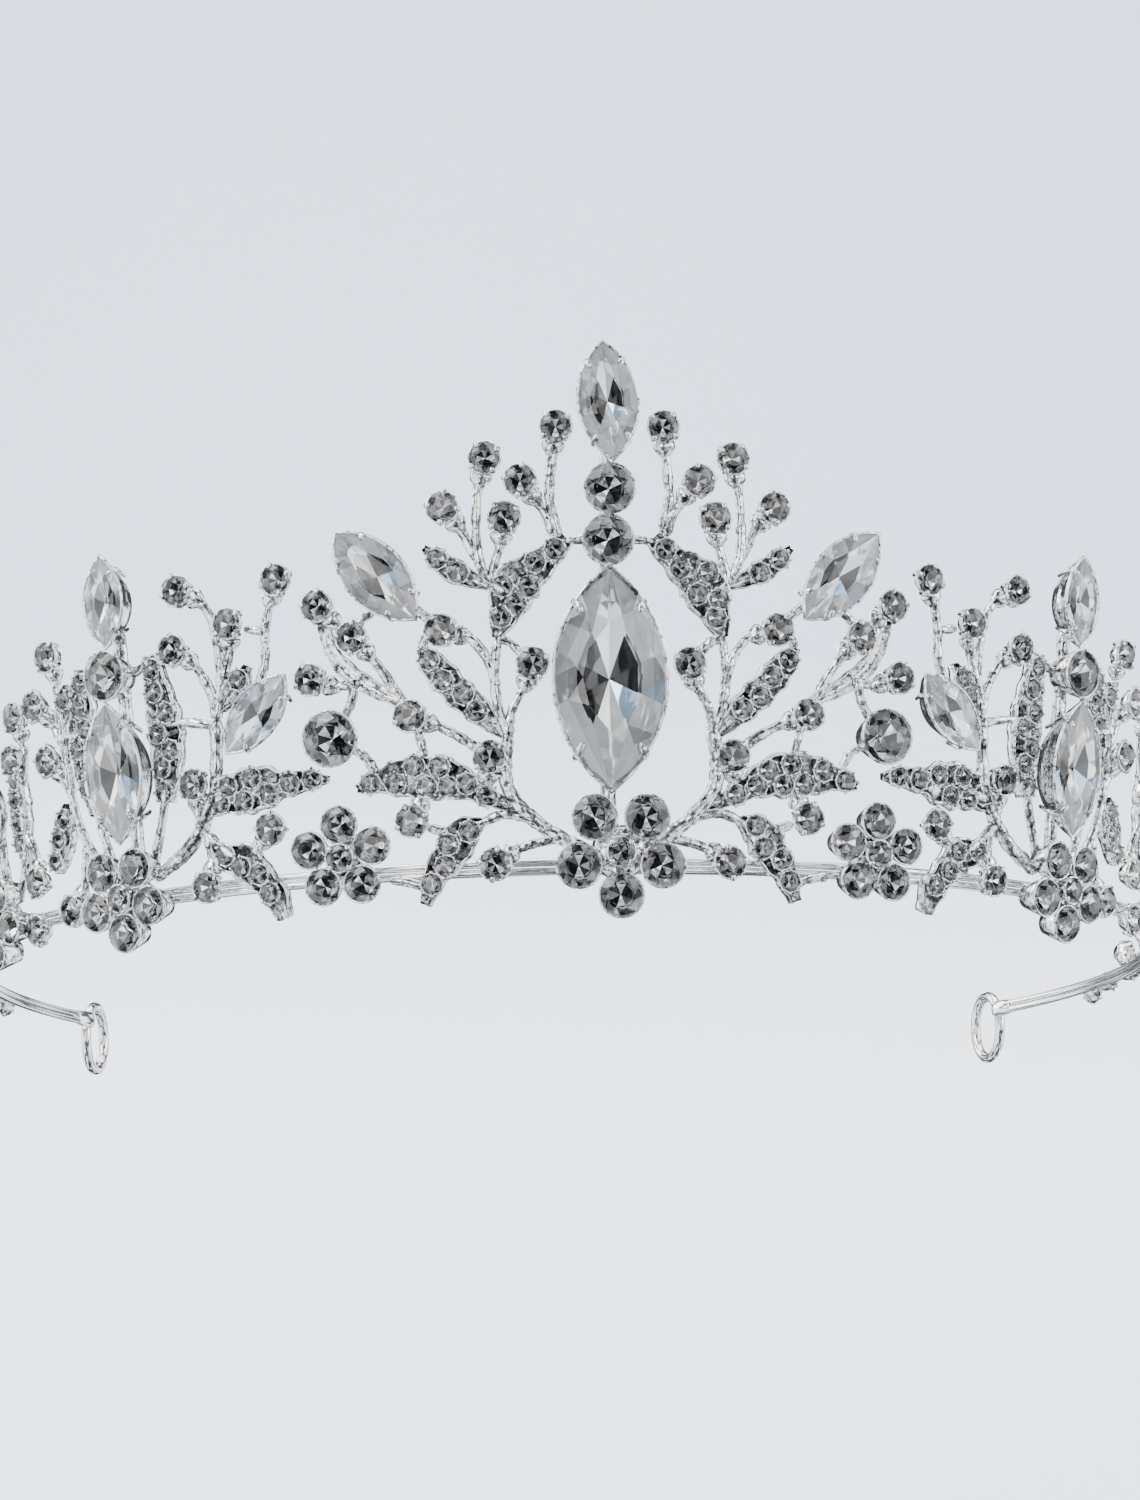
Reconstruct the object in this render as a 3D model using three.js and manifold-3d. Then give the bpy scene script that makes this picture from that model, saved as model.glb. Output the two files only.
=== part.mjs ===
// Bridal tiara: a rigid, open band of two round wires that carries cast openwork motifs set with stones.
// Millimetres, +Z up, +X to the wearer's left, the front faces -Y.
// In names, left and right are as seen by somebody who looks at the front: left is at -X.
// Each casting is designed flat and then bent round the band, as the real ones are.
import * as THREE from "three";
import { ConvexGeometry } from "three/addons/geometries/ConvexGeometry.js";
import { mergeVertices } from "three/addons/utils/BufferGeometryUtils.js";
import Module from "manifold-3d";

const wasm = await Module();
wasm.setup();

// ---- driving dimensions ----

// The band seen from above is three arcs a side: front, flank and rear.
const FRONT_RADIUS = 86;
const FLANK_RADIUS = 55;
const REAR_RADIUS = 75;
const FRONT_LENGTH = 62; // arc length from the centre line to the end of the front arc
const FLANK_LENGTH = 38;
const BAND_HALF_LENGTH = 152.1; // arc length from the centre line to the end loop's wire
const LEAN = THREE.MathUtils.degToRad(11); // the motifs lean outwards at the top

const WIRE_RADIUS = 0.42;
const WIRE_SETBACK = -0.8; // the wires run behind the castings
const UPPER_WIRE_HEIGHT = -3.03;
const LOWER_WIRE_HEIGHT = -3.97;
const LOOP_RADIUS = 4.4; // to the middle of the loop's wire
const LOOP_WIRE_RADIUS = 0.7;
const LOOP_TURN = THREE.MathUtils.degToRad(20); // each loop opens outwards from the band's own line
const LOOP_HEIGHT = -5.2;
const LOOP_GAP = 0.3;
const LOOP_SEGMENTS = 16;
const WIRE_SIDES = 6;
const BAND_STEPS = 40; // straight pieces along each band wire

const TWIG_WIDTH = 0.95;
const STOUT_TWIG_WIDTH = 1.4;
const CASTING_THICKNESS = 1.4; // of twigs, leaves and setting plates alike
const SEAT_GAP = 0.3; // between a setting and the stone on it
const SETTING_RIM = 0.25; // a setting plate stands this far out round its stone
const PETAL_RIM = 0.15; // the same round a flower's petals, which nearly touch
const HUB_TO_RING = 0.75; // a flower's middle disc, against its ring of petals

const HEAD_RADIUS = 1.72; // a claw-set stone with its bell cup
const HEAD_HEIGHT = 2.7;
const HEAD_SIDES = 6;
const BELL_TAPER = 0.7; // the bell cup's foot against its mouth

const ROUND_DEPTH = 0.55; // a round stone's depth against its diameter
const NAVETTE_DEPTH = 0.5; // a navette's depth against its width
const GIRDLE_LEVEL = 0.55; // of a stone's depth, from its culet
const TABLE_SCALE = 0.55; // the table against the girdle
const PETALS = 5;
const PETAL_GAP = 0.1; // taken off each petal stone's diameter

const FLATNESS = 0.03; // faces closer to one plane than this are merged after a join
const WELD_DISTANCE = 1e-4;

// ---- the sheet: u along the band from the centre line, v up it, w out of it ----

const arcLengths = [FRONT_LENGTH, FLANK_LENGTH, Infinity];
const arcRadii = [FRONT_RADIUS, FLANK_RADIUS, REAR_RADIUS];

// The band's plan point and heading at arc length u, arc by arc.
function planAt(u) {
  let left = Math.abs(u);
  let x = 0;
  let y = 0;
  let heading = 0;
  for (let i = 0; i < arcRadii.length && left > 0; i++) {
    const step = Math.min(left, arcLengths[i]);
    const next = heading + step / arcRadii[i];
    x += arcRadii[i] * (Math.sin(next) - Math.sin(heading));
    y += arcRadii[i] * (Math.cos(heading) - Math.cos(next));
    heading = next;
    left -= step;
  }
  return { x: Math.sign(u) * x, y, heading: Math.sign(u) * heading };
}

// The sheet's directions at u: along the band, up the sheet and out of it.
function sheetAxes(u) {
  const { heading } = planAt(u);
  const along = new THREE.Vector3(Math.cos(heading), Math.sin(heading), 0);
  const outward = new THREE.Vector3(Math.sin(heading), -Math.cos(heading), 0);
  const up = outward.clone().multiplyScalar(Math.sin(LEAN));
  up.z = Math.cos(LEAN);
  return { along, up, out: along.clone().cross(up) };
}

function sheetPoint(u, v, w) {
  const { x, y } = planAt(u);
  const { up, out } = sheetAxes(u);
  return new THREE.Vector3(x, y, 0).addScaledVector(up, v).addScaledVector(out, w);
}

// Bends a flat geometry, modelled in (u, v, w), round the band.
function bent(geometry) {
  const place = geometry.attributes.position;
  for (let i = 0; i < place.count; i++) {
    const p = sheetPoint(place.getX(i), place.getY(i), place.getZ(i));
    place.setXYZ(i, p.x, p.y, p.z);
  }
  geometry.computeVertexNormals();
  return geometry;
}

// ---- joining ----

function solidOf(geometry) {
  const bare = new THREE.BufferGeometry();
  const whole = geometry.index ? geometry.toNonIndexed() : geometry;
  bare.setAttribute("position", whole.attributes.position.clone());
  const merged = mergeVertices(bare, WELD_DISTANCE);
  const mesh = new wasm.Mesh({
    numProp: 3,
    vertProperties: merged.attributes.position.array,
    triVerts: new Uint32Array(merged.index.array),
  });
  return new wasm.Manifold(mesh);
}

// Joins closed geometries into one, and merges the flat faces that the join leaves side by side.
function joined(geometries) {
  const solid = geometries.map(solidOf).reduce((all, next) => all.add(next));
  const mesh = solid.asOriginal().simplify(FLATNESS).getMesh();
  const geometry = new THREE.BufferGeometry();
  geometry.setAttribute("position", new THREE.BufferAttribute(mesh.vertProperties, 3));
  geometry.setIndex(new THREE.BufferAttribute(mesh.triVerts, 1));
  return geometry;
}

// ---- flat shapes in (u, v, w) ----

function circle(radius, sides) {
  const shape = new THREE.Shape();
  for (let i = 0; i < sides; i++) {
    const a = ((i + 0.5) / sides) * 2 * Math.PI - Math.PI / 2;
    if (i === 0) shape.moveTo(radius * Math.cos(a), radius * Math.sin(a));
    else shape.lineTo(radius * Math.cos(a), radius * Math.sin(a));
  }
  return shape;
}

const castFrom = (outline) =>
  new THREE.ExtrudeGeometry(new THREE.Shape(outline), { depth: CASTING_THICKNESS, bevelEnabled: false });

// A cast slab along a spine of [u, v, half width].
function slab(spine) {
  const sides = spine.map(([u, v, half], i) => {
    const before = spine[Math.max(i - 1, 0)];
    const after = spine[Math.min(i + 1, spine.length - 1)];
    const length = Math.hypot(after[0] - before[0], after[1] - before[1]);
    const across = [(before[1] - after[1]) / length, (after[0] - before[0]) / length];
    return {
      left: new THREE.Vector2(u + half * across[0], v + half * across[1]),
      right: new THREE.Vector2(u - half * across[0], v - half * across[1]),
    };
  });
  const outline = [...sides.map((s) => s.left), ...sides.map((s) => s.right).reverse()];
  return castFrom(outline);
}

// A cast twig through the points [u, v].
const twig = (points, width = TWIG_WIDTH) => slab(points.map(([u, v]) => [u, v, width / 2]));

// The half width of a navette at a fraction t of its half length, two arcs that meet in points.
function navetteHalfWidth(t, halfLength, halfWidth) {
  const radius = (halfLength ** 2 + halfWidth ** 2) / (2 * halfWidth);
  return Math.sqrt(radius ** 2 - (t * halfLength) ** 2) - (radius - halfWidth);
}

function navetteOutline(length, width, steps = 6) {
  const points = [];
  for (let i = 0; i < 2 * steps; i++) {
    const side = i < steps ? 1 : -1;
    const t = side * (1 - (2 * (i % steps)) / steps);
    points.push(new THREE.Vector2(side * navetteHalfWidth(t, length / 2, width / 2), (t * length) / 2));
  }
  return points;
}

// A setting plate behind a navette stone, its long axis turned from v by angle.
function navettePlate(u, v, length, width, angle) {
  return castFrom(navetteOutline(length, width)).rotateZ(angle).translate(u, v, 0);
}

function disc(u, v, radius, sides = 8) {
  const plate = new THREE.CylinderGeometry(radius, radius, CASTING_THICKNESS, sides);
  return plate.rotateX(Math.PI / 2).translate(u, v, CASTING_THICKNESS / 2);
}

// The bell cup, claws and stone at a twig's end.
function head(u, v) {
  const bell = new THREE.CylinderGeometry(HEAD_RADIUS, BELL_TAPER * HEAD_RADIUS, HEAD_HEIGHT, HEAD_SIDES);
  return bell.rotateX(Math.PI / 2).translate(u, v, HEAD_HEIGHT / 2);
}

// Petal centres of a flower, the first one topAngle degrees round from u towards v.
function petalCentres({ at, ring, topAngle }) {
  return Array.from({ length: PETALS }, (_, i) => {
    const a = THREE.MathUtils.degToRad(topAngle + (360 / PETALS) * i);
    return [at[0] + ring * Math.cos(a), at[1] + ring * Math.sin(a)];
  });
}

function flowerPlate(flower) {
  const cups = petalCentres(flower).map(([u, v]) => disc(u, v, flower.petal + PETAL_RIM));
  return [disc(flower.at[0], flower.at[1], HUB_TO_RING * flower.ring, 2 * PETALS), ...cups];
}

const mirrored = (points, side) => points.map(([u, ...rest]) => [side * u, ...rest]);

function sprig({ twigs = [], stoutTwigs = [], leaves = [], heads = [] }, side) {
  return [
    ...twigs.map((t) => twig(mirrored(t, side))),
    ...stoutTwigs.map((t) => twig(mirrored(t, side), STOUT_TWIG_WIDTH)),
    ...leaves.map((l) => slab(mirrored(l, side))),
    ...heads.map(([u, v]) => head(side * u, v)),
  ];
}

// ---- stones: faceted solids in their own frame, the table towards +z ----

function ring(outline, scale, z) {
  return outline.map((p) => new THREE.Vector3(p.x * scale, p.y * scale, z));
}

function stoneOf(outline, depth) {
  return new ConvexGeometry([
    new THREE.Vector3(0, 0, 0),
    ...ring(outline, 1, GIRDLE_LEVEL * depth),
    ...ring(outline, TABLE_SCALE, depth),
  ]);
}

const roundStone = (diameter) => stoneOf(circle(diameter / 2, 8).getPoints(), ROUND_DEPTH * diameter);
const navetteStone = (length, width) => stoneOf(navetteOutline(length, width), NAVETTE_DEPTH * width);

// ---- the design, in sheet millimetres; side pieces are mirrored ----

const centreColumn = {
  marquise: { at: [-0.5, 15.7], size: [23.4, 11.8], turn: 0 },
  lowerChaton: { at: [-0.4, 30.35], size: 5.2 },
  upperChaton: { at: [-0.2, 35.75], size: 5.2 },
  topMarquise: { at: [-0.3, 44.9], size: [12.4, 6.2], turn: 5 },
};
const centreFlower = { at: [0.6, -2.1], ring: 4.45, petal: 2.35, topAngle: 54 };

const centreSprig = {
  stoutTwigs: [[[2.5, -2], [5.8, -0.3], [8.4, 1.7], [10.5, 4.3], [10.9, 6.5], [10.6, 9.7], [10.4, 11.4]]],
  twigs: [
    [[10.4, 11.4], [9.9, 13.3], [8.5, 15.8], [7.8, 17.7]], // lyre to its inner stone
    [[10.5, 10.4], [11.4, 13.2], [11.7, 16.5], [11.3, 20.6]], // main stem up to the inner leaf
    [[11.3, 20.6], [10.0, 20.0], [8.9, 18.8], [7.8, 17.7]],
    [[11.5, 15.3], [12.4, 18.5], [14.3, 20.9], [17.0, 21.7]], // bow to the stone under the wing
    [[5.1, 42.6], [5.6, 38.5], [5.8, 34.9], [5.0, 31.0]],
    [[8.6, 37.0], [7.6, 35.6], [6.2, 33.4], [5.5, 31.2]],
    [[10.2, 33.1], [10.7, 30.5], [11.6, 26.9], [10.4, 25.4]],
    [[11.9, 39.5], [12.8, 35.8], [13.0, 29.8], [12.0, 26.3]],
    [[16.1, 34.5], [14.7, 32.5], [13.0, 28.8]],
    [[17.0, 21.7], [18.4, 21.2], [18.9, 19.8]], // wing root to the second leaf
    [[20.3, 12.8], [17.6, 11.6], [15.2, 10.2], [12.4, 8.1]],
    [[20.3, 12.8], [19.5, 10.2], [19.2, 8.4]],
    [[25.8, 21.5], [23.8, 18.9], [21.8, 15.6], [20.3, 12.8]],
    [[30.6, 17.7], [28.0, 16.6], [25.6, 16.9]],
    [[26.0, 16.8], [26.6, 14.6], [28.0, 12.4]], // hanger of the round chaton
    [[27.0, 10.0], [25.4, 8.9], [24.3, 7.0]],
    [[20.6, 1.8], [19.8, 3.6], [19.5, 5.3]],
    [[20.6, 1.8], [18.8, 1.0], [17.0, 0.4]],
    [[8.2, 1.5], [11.0, 2.1], [13.2, 1.4], [14.4, 0.6]], // arch over the lower leaf
    [[12.2, -3.1], [10.6, -2.0], [8.6, -1.2], [5.8, -0.6]],
    [[19.6, -5.2], [21.6, -4.5], [23.4, -4.2]], // branch along the band towards the small flower
    [[16.9, 21.7], [18.5, 23.3], [20.6, 25.2]],
    [[23.6, 24.4], [25.2, 23.0], [25.8, 21.5]], // wing to its outer neighbour
  ],
  leaves: [
    [[4.2, 30.9, 0.9], [6.6, 28.5, 1.6], [9.1, 26.3, 2.5], [10.3, 23.6, 1.9], [11.4, 20.6, 0.5]],
    [[19.0, 19.9, 0.5], [17.6, 17.8, 1.5], [15.8, 15.5, 1.6], [13.6, 13.2, 1.5], [11.0, 10.4, 0.5]],
    [[26.4, 5.6, 0.5], [24.0, 6.2, 1.3], [20.4, 6.5, 2.4], [17.0, 6.1, 2.3], [14.5, 5.0, 1.4],
      [12.0, 3.6, 0.9], [9.4, 2.8, 0.6]],
    [[13.4, 1.4, 0.6], [15.5, 0.2, 1.9], [17.0, -2.0, 1.9], [18.5, -4.0, 1.4], [19.8, -7.0, 0.6]],
    [[18.2, 30.5, 0.4], [15.5, 28.0, 1.3], [12.0, 26.0, 0.4]],
    [[29.1, 24.6, 0.5], [28.2, 20.4, 0.7], [25.6, 17.1, 1.0], [21.0, 14.2, 0.6]], // forked broad stem
  ],
  heads: [
    [5.1, 42.6], [11.9, 39.5], [8.6, 37.0], [16.1, 34.5], [10.2, 33.1], [16.8, 21.6], [7.8, 17.7],
    [29.2, 25.2], [25.8, 21.5], [30.4, 17.5], [20.3, 12.8], [12.4, 8.1], [20.6, 1.8], [12.2, -3.1],
  ],
};

const wingMarquise = { at: [22.5, 27.5], size: [12.6, 6.2], turn: -40 };
const roundChaton = { at: [28.0, 10.9], size: 5.8 };
const smallFlower = { at: [27.9, -1.6], ring: 3.5, petal: 1.95, topAngle: 90 };

const sideColumn = {
  topMarquise: { at: [52.1, 28.9], size: [10, 5], turn: 3 },
  chaton: { at: [52.7, 20.9], size: 5.3 },
  marquise: { at: [52.5, 10.2], size: [15.2, 7.4], turn: 0 },
};
const sideFlower = { at: [54.0, -3.2], ring: 3.75, petal: 2.1, topAngle: 54 };
const sprayMarquise = { at: [35.8, 14.3], size: [10.4, 5], turn: 45 };

const sideSprig = {
  stoutTwigs: [[[51.0, -1.5], [46.7, 0.9], [44.2, 3.6], [42.5, 6.8], [42.0, 10.0], [41.5, 14.5]]],
  twigs: [
    [[41.5, 14.5], [40.7, 18.3], [40.6, 22.0], [41.2, 25.6], [42.5, 27.6], [44.3, 28.8]],
    [[38.9, 24.5], [39.3, 21.8], [40.7, 17.8]],
    [[45.5, 22.6], [43.6, 20.8], [41.9, 17.6], [41.5, 14.6]],
    [[33.3, 28.5], [34.5, 26.2], [35.2, 23.2], [35.7, 19.3], [38.5, 14.2]],
    [[38.9, 24.5], [37.0, 23.7], [35.2, 23.3]],
    [[44.5, 7.9], [44.8, 5.6], [44.3, 3.2]],
    [[41.6, 13.8], [44.5, 14.6], [47.8, 15.0]], // tie to the pave column
    [[48.4, 8.0], [49.6, 4.0], [51.0, 0.0]],
    [[43.0, 5.6], [41.4, 6.0], [39.0, 6.4]],
    [[44.4, 3.0], [42.8, 1.4], [41.0, -0.3]],
    [[35.9, 2.2], [37.2, 1.2], [38.4, -0.2]],
    [[44.0, -3.2], [43.6, -1.2], [43.8, 2.4]],
    [[58.2, 8.0], [57.6, 4.0], [56.4, 0.0]],
    [[57.0, -0.6], [59.6, 2.6], [61.2, 6.8], [61.6, 11.5], [61.7, 17.5], [62.0, 24.8]],
    [[61.6, 14.0], [63.0, 17.2], [64.8, 19.8]],
    [[61.5, 9.5], [62.6, 11.4], [63.8, 13.4]],
    [[62.8, -3.5], [61.2, -0.8], [60.2, 3.4]],
    [[58.7, 15.5], [61.4, 15.8]],
  ],
  leaves: [
    [[29.5, 6.9, 0.4], [31.8, 7.0, 1.2], [34.4, 6.8, 1.5], [37.0, 6.7, 2.5], [40.2, 6.4, 2.3],
      [43.0, 5.2, 1.0]],
    [[42.9, 1.0, 0.5], [41.4, -0.3, 1.6], [39.6, -0.9, 2.0], [37.8, -2.8, 1.5], [36.3, -5.0, 1.5],
      [35.5, -7.3, 0.8]],
    [[48.7, 22.6, 0.8], [48.3, 19.0, 1.5], [47.8, 15.0, 2.1], [47.9, 11.0, 1.9], [48.6, 6.5, 0.9]],
    [[57.9, 22.6, 0.8], [58.3, 19.0, 1.5], [58.7, 15.0, 2.0], [58.6, 11.0, 1.8], [57.9, 6.5, 0.9]],
    [[37.4, 19.8, 0.4], [38.9, 17.8, 1.2], [41.0, 15.6, 0.5]],
    [[62.0, 8.2, 0.6], [62.9, 6.3, 1.5], [64.0, 3.7, 1.5], [65.4, 1.2, 0.7]],
    [[60.0, 21.2, 0.5], [60.9, 19.2, 1.2], [61.7, 16.8, 0.5]],
  ],
  heads: [
    [33.3, 28.5], [38.9, 24.5], [44.4, 28.9], [45.5, 22.6], [44.5, 7.9], [35.9, 2.2], [44.0, -3.2],
    [62.0, 24.8], [64.8, 19.8], [63.8, 13.4], [62.8, -3.5],
  ],
};

const endColumn = {
  chaton: { at: [75.2, 18.3], size: 4.8 },
  marquise: { at: [75.2, 9.6], size: [11.4, 5.6], turn: 0 },
};
const endFlower = { at: [75.5, -2.8], ring: 3.5, petal: 1.9, topAngle: 54 };

const endSprig = {
  stoutTwigs: [[[78.0, -1.0], [82.0, 0.6], [87.0, 0.2], [92.0, -0.8], [97.0, -1.6]]],
  twigs: [
    [[73.0, -1.0], [70.6, 3.0], [69.9, 8.0], [69.6, 14.6]],
    [[70.0, 6.5], [68.8, 4.2], [68.0, 1.2]],
    [[69.7, 11.0], [68.3, 14.6], [68.2, 18.4]],
    [[73.0, -2.6], [70.8, -3.4], [69.2, -4.6]],
    [[78.0, 0.0], [80.4, 4.0], [81.0, 9.0], [81.0, 14.6]],
    [[80.9, 7.6], [82.8, 10.0], [84.6, 11.4]],
    [[84.2, 0.6], [86.2, 3.6], [88.0, 6.4]],
    [[89.4, -0.3], [91.8, 1.6], [94.0, 3.2]],
    [[97.0, -1.6], [99.4, -1.2]],
    [[83.0, 0.5], [84.0, -2.0], [84.8, -4.4]],
  ],
  leaves: [
    [[78.6, 0.6, 0.6], [81.4, 1.4, 1.6], [84.0, 1.6, 2.0], [87.0, 0.8, 1.6], [89.6, 0.0, 0.6]],
    [[90.2, -0.4, 0.5], [92.6, -1.2, 1.3], [95.6, -1.7, 1.3], [98.0, -1.6, 0.6]],
    [[70.6, 3.6, 0.5], [70.4, 7.6, 1.4], [70.2, 11.0, 1.4], [69.8, 13.6, 0.5]],
    [[80.2, 4.0, 0.5], [80.5, 7.6, 1.4], [80.6, 11.0, 1.4], [80.9, 13.6, 0.5]],
  ],
  heads: [
    [69.6, 14.6], [68.0, 0.4], [68.2, 19.2], [69.0, -4.8], [81.0, 15.4], [84.8, 11.6],
    [88.2, 6.8], [94.2, 3.4], [99.8, -1.2], [84.9, -4.6],
  ],
};

const rearSprig = {
  stoutTwigs: [[[102.8, -2.4], [108.0, -1.6], [114.0, -2.0], [120.0, -2.4], [126.0, -2.8], [132.0, -3.2]]],
  twigs: [
    [[104.4, -2.0], [104.6, 3.0], [105.6, 7.6]],
    [[109.6, -1.6], [110.6, 3.0], [112.4, 6.0]],
    [[115.6, -2.0], [117.0, 1.0], [118.8, 2.6]],
    [[121.6, -2.4], [123.0, -0.8], [124.4, 0.2]],
    [[106.4, -1.8], [107.0, -5.0]],
  ],
  leaves: [
    [[104.8, -1.4, 0.6], [107.2, 0.8, 1.6], [109.8, 2.2, 1.6], [112.4, 2.6, 0.5]],
    [[113.6, -2.0, 0.6], [116.8, -2.3, 1.4], [120.0, -2.6, 1.4], [123.2, -2.8, 0.6]],
    [[125.0, -2.8, 0.5], [127.4, -3.0, 1.2], [129.8, -3.2, 0.6]],
  ],
  heads: [[105.6, 8.2], [112.6, 6.6], [119.0, 3.0], [124.6, 0.6], [107.0, -5.4], [132.6, -3.2]],
};

// ---- materials ----

const plating = () => new THREE.MeshStandardMaterial({ color: 0xdfe1e4, roughness: 0.2, metalness: 1 });
const crystal = () => new THREE.MeshStandardMaterial({ color: 0xe9eef4, roughness: 0.03, metalness: 0.1 });

const tiara = new THREE.Group();

function addMesh(name, geometry, material) {
  const mesh = new THREE.Mesh(geometry, material);
  mesh.name = name;
  tiara.add(mesh);
  return mesh;
}

// ---- castings ----

function plateFor({ at, size, turn }, side = 1) {
  const [length, width] = size.map((extent) => extent + 2 * SETTING_RIM);
  return navettePlate(side * at[0], at[1], length, width, THREE.MathUtils.degToRad(side * turn));
}

const cupFor = ({ at, size }, side = 1) => disc(side * at[0], at[1], size / 2 + SETTING_RIM);

const onSide = (flower, side) => ({ ...flower, at: [side * flower.at[0], flower.at[1]] });

function addCentreCasting() {
  const { marquise, lowerChaton, upperChaton, topMarquise } = centreColumn;
  const parts = [
    plateFor(marquise),
    cupFor(lowerChaton),
    cupFor(upperChaton),
    plateFor(topMarquise),
    ...flowerPlate(centreFlower),
    twig([[0.2, -1], [-0.4, 4], [-0.4, 30], [-0.2, 35.5], [-0.3, 40]], STOUT_TWIG_WIDTH),
    twig([[-4.4, 30.6], [-0.4, 30.9], [4.4, 30.6]]),
  ];
  for (const side of [-1, 1]) {
    parts.push(...sprig(centreSprig, side), plateFor(wingMarquise, side), cupFor(roundChaton, side));
  }
  addMesh("centre_casting", bent(joined(parts)), plating());
}

function addSideCastings(side, name) {
  addMesh(`flower_setting_${name}`, bent(joined(flowerPlate(onSide(smallFlower, side)))), plating());
  const sideParts = [
    plateFor(sideColumn.topMarquise, side),
    cupFor(sideColumn.chaton, side),
    plateFor(sideColumn.marquise, side),
    plateFor(sprayMarquise, side),
    ...flowerPlate(onSide(sideFlower, side)),
    ...sprig(sideSprig, side),
    twig(mirrored([[53.6, -2], [52.9, 3], [52.6, 18], [52.4, 26]], side), STOUT_TWIG_WIDTH),
    twig(mirrored([[48.6, 21.8], [52.7, 20.9], [58.0, 21.8]], side)),
  ];
  addMesh(`side_casting_${name}`, bent(joined(sideParts)), plating());
  const endParts = [
    cupFor(endColumn.chaton, side),
    plateFor(endColumn.marquise, side),
    ...flowerPlate(onSide(endFlower, side)),
    ...sprig(endSprig, side),
    twig(mirrored([[75.4, -2], [75.2, 3], [75.2, 18]], side), STOUT_TWIG_WIDTH),
    ...petalCentres(onSide(endFlower, side)).map(([u, v]) => head(u, v)),
  ];
  addMesh(`end_casting_${name}`, bent(joined(endParts)), plating());
  addMesh(`rear_casting_${name}`, bent(joined(sprig(rearSprig, side))), plating());
}

// ---- stones ----

function addStone(name, geometry, u, v, turn = 0) {
  const mesh = addMesh(name, geometry, crystal());
  const { along, up, out } = sheetAxes(u);
  const axes = new THREE.Matrix4().makeBasis(along, up, out);
  mesh.position.copy(sheetPoint(u, v, CASTING_THICKNESS + SEAT_GAP));
  mesh.quaternion.setFromRotationMatrix(axes);
  mesh.rotateZ(THREE.MathUtils.degToRad(turn));
}

const addNavette = (name, { at, size, turn }, side = 1) =>
  addStone(name, navetteStone(...size), side * at[0], at[1], side * turn);

const addRound = (name, { at, size }, side = 1) => addStone(name, roundStone(size), side * at[0], at[1]);

function addPetals(name, flower) {
  petalCentres(flower).forEach(([u, v], i) => {
    addStone(`${name}_${i + 1}`, roundStone(2 * flower.petal - PETAL_GAP), u, v);
  });
}

function addStones() {
  addNavette("centre_marquise", centreColumn.marquise);
  addRound("lower_chaton", centreColumn.lowerChaton);
  addRound("upper_chaton", centreColumn.upperChaton);
  addNavette("top_marquise", centreColumn.topMarquise);
  addPetals("centre_petal", centreFlower);
  for (const [side, name] of [[-1, "left"], [1, "right"]]) {
    addNavette(`wing_marquise_${name}`, wingMarquise, side);
    addRound(`round_chaton_${name}`, roundChaton, side);
    addNavette(`spray_marquise_${name}`, sprayMarquise, side);
    addNavette(`side_top_marquise_${name}`, sideColumn.topMarquise, side);
    addRound(`side_chaton_${name}`, sideColumn.chaton, side);
    addNavette(`side_marquise_${name}`, sideColumn.marquise, side);
    addNavette(`end_marquise_${name}`, endColumn.marquise, side);
    addRound(`end_chaton_${name}`, endColumn.chaton, side);
    addPetals(`small_petal_${name}`, onSide(smallFlower, side));
    addPetals(`side_petal_${name}`, onSide(sideFlower, side));
  }
}

// ---- band and end loops ----

function addBandWire(name, height) {
  const half = BAND_HALF_LENGTH - LOOP_WIRE_RADIUS - LOOP_GAP;
  const points = [];
  for (let i = 0; i <= BAND_STEPS; i++) {
    points.push(sheetPoint(half * ((2 * i) / BAND_STEPS - 1), height, WIRE_SETBACK));
  }
  const wire = new THREE.ExtrudeGeometry(circle(WIRE_RADIUS, WIRE_SIDES), {
    steps: BAND_STEPS,
    extrudePath: new THREE.CatmullRomCurve3(points),
    curveSegments: 1,
  });
  addMesh(name, wire, plating());
}

// A round eye in the upright plane along the band, its lowest wall flat.
function addEndLoop(side, name) {
  const section = circle(LOOP_WIRE_RADIUS, WIRE_SIDES)
    .getPoints()
    .map((p) => new THREE.Vector2(LOOP_RADIUS - p.y, p.x));
  const loop = new THREE.LatheGeometry([...section, section[0].clone()], LOOP_SEGMENTS);
  loop.rotateX(Math.PI / 2).rotateZ(Math.PI / LOOP_SEGMENTS);
  const mesh = addMesh(`end_loop_${name}`, loop, plating());
  const up = new THREE.Vector3(0, 0, 1);
  const along = sheetAxes(side * BAND_HALF_LENGTH).along.applyAxisAngle(up, -side * LOOP_TURN);
  mesh.quaternion.setFromRotationMatrix(new THREE.Matrix4().makeBasis(along, up, along.clone().cross(up)));
  mesh.position.copy(sheetPoint(side * BAND_HALF_LENGTH, 0, WIRE_SETBACK));
  mesh.position.addScaledVector(along, side * LOOP_RADIUS);
  mesh.position.z = LOOP_HEIGHT;
}

addCentreCasting();
addBandWire("band_wire_upper", UPPER_WIRE_HEIGHT);
addBandWire("band_wire_lower", LOWER_WIRE_HEIGHT);
for (const [side, name] of [[-1, "left"], [1, "right"]]) {
  addSideCastings(side, name);
  addEndLoop(side, name);
}
addStones();

// The origin is under the middle of the whole tiara, on the surface it stands on.
tiara.updateMatrixWorld(true);
const box = new THREE.Box3().setFromObject(tiara, true);
tiara.position.set(-(box.min.x + box.max.x) / 2, -(box.min.y + box.max.y) / 2, -box.min.z);

export default tiara;
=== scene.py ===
import math

import bmesh
import bpy
import numpy as np
from mathutils import Matrix, Vector, noise


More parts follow.
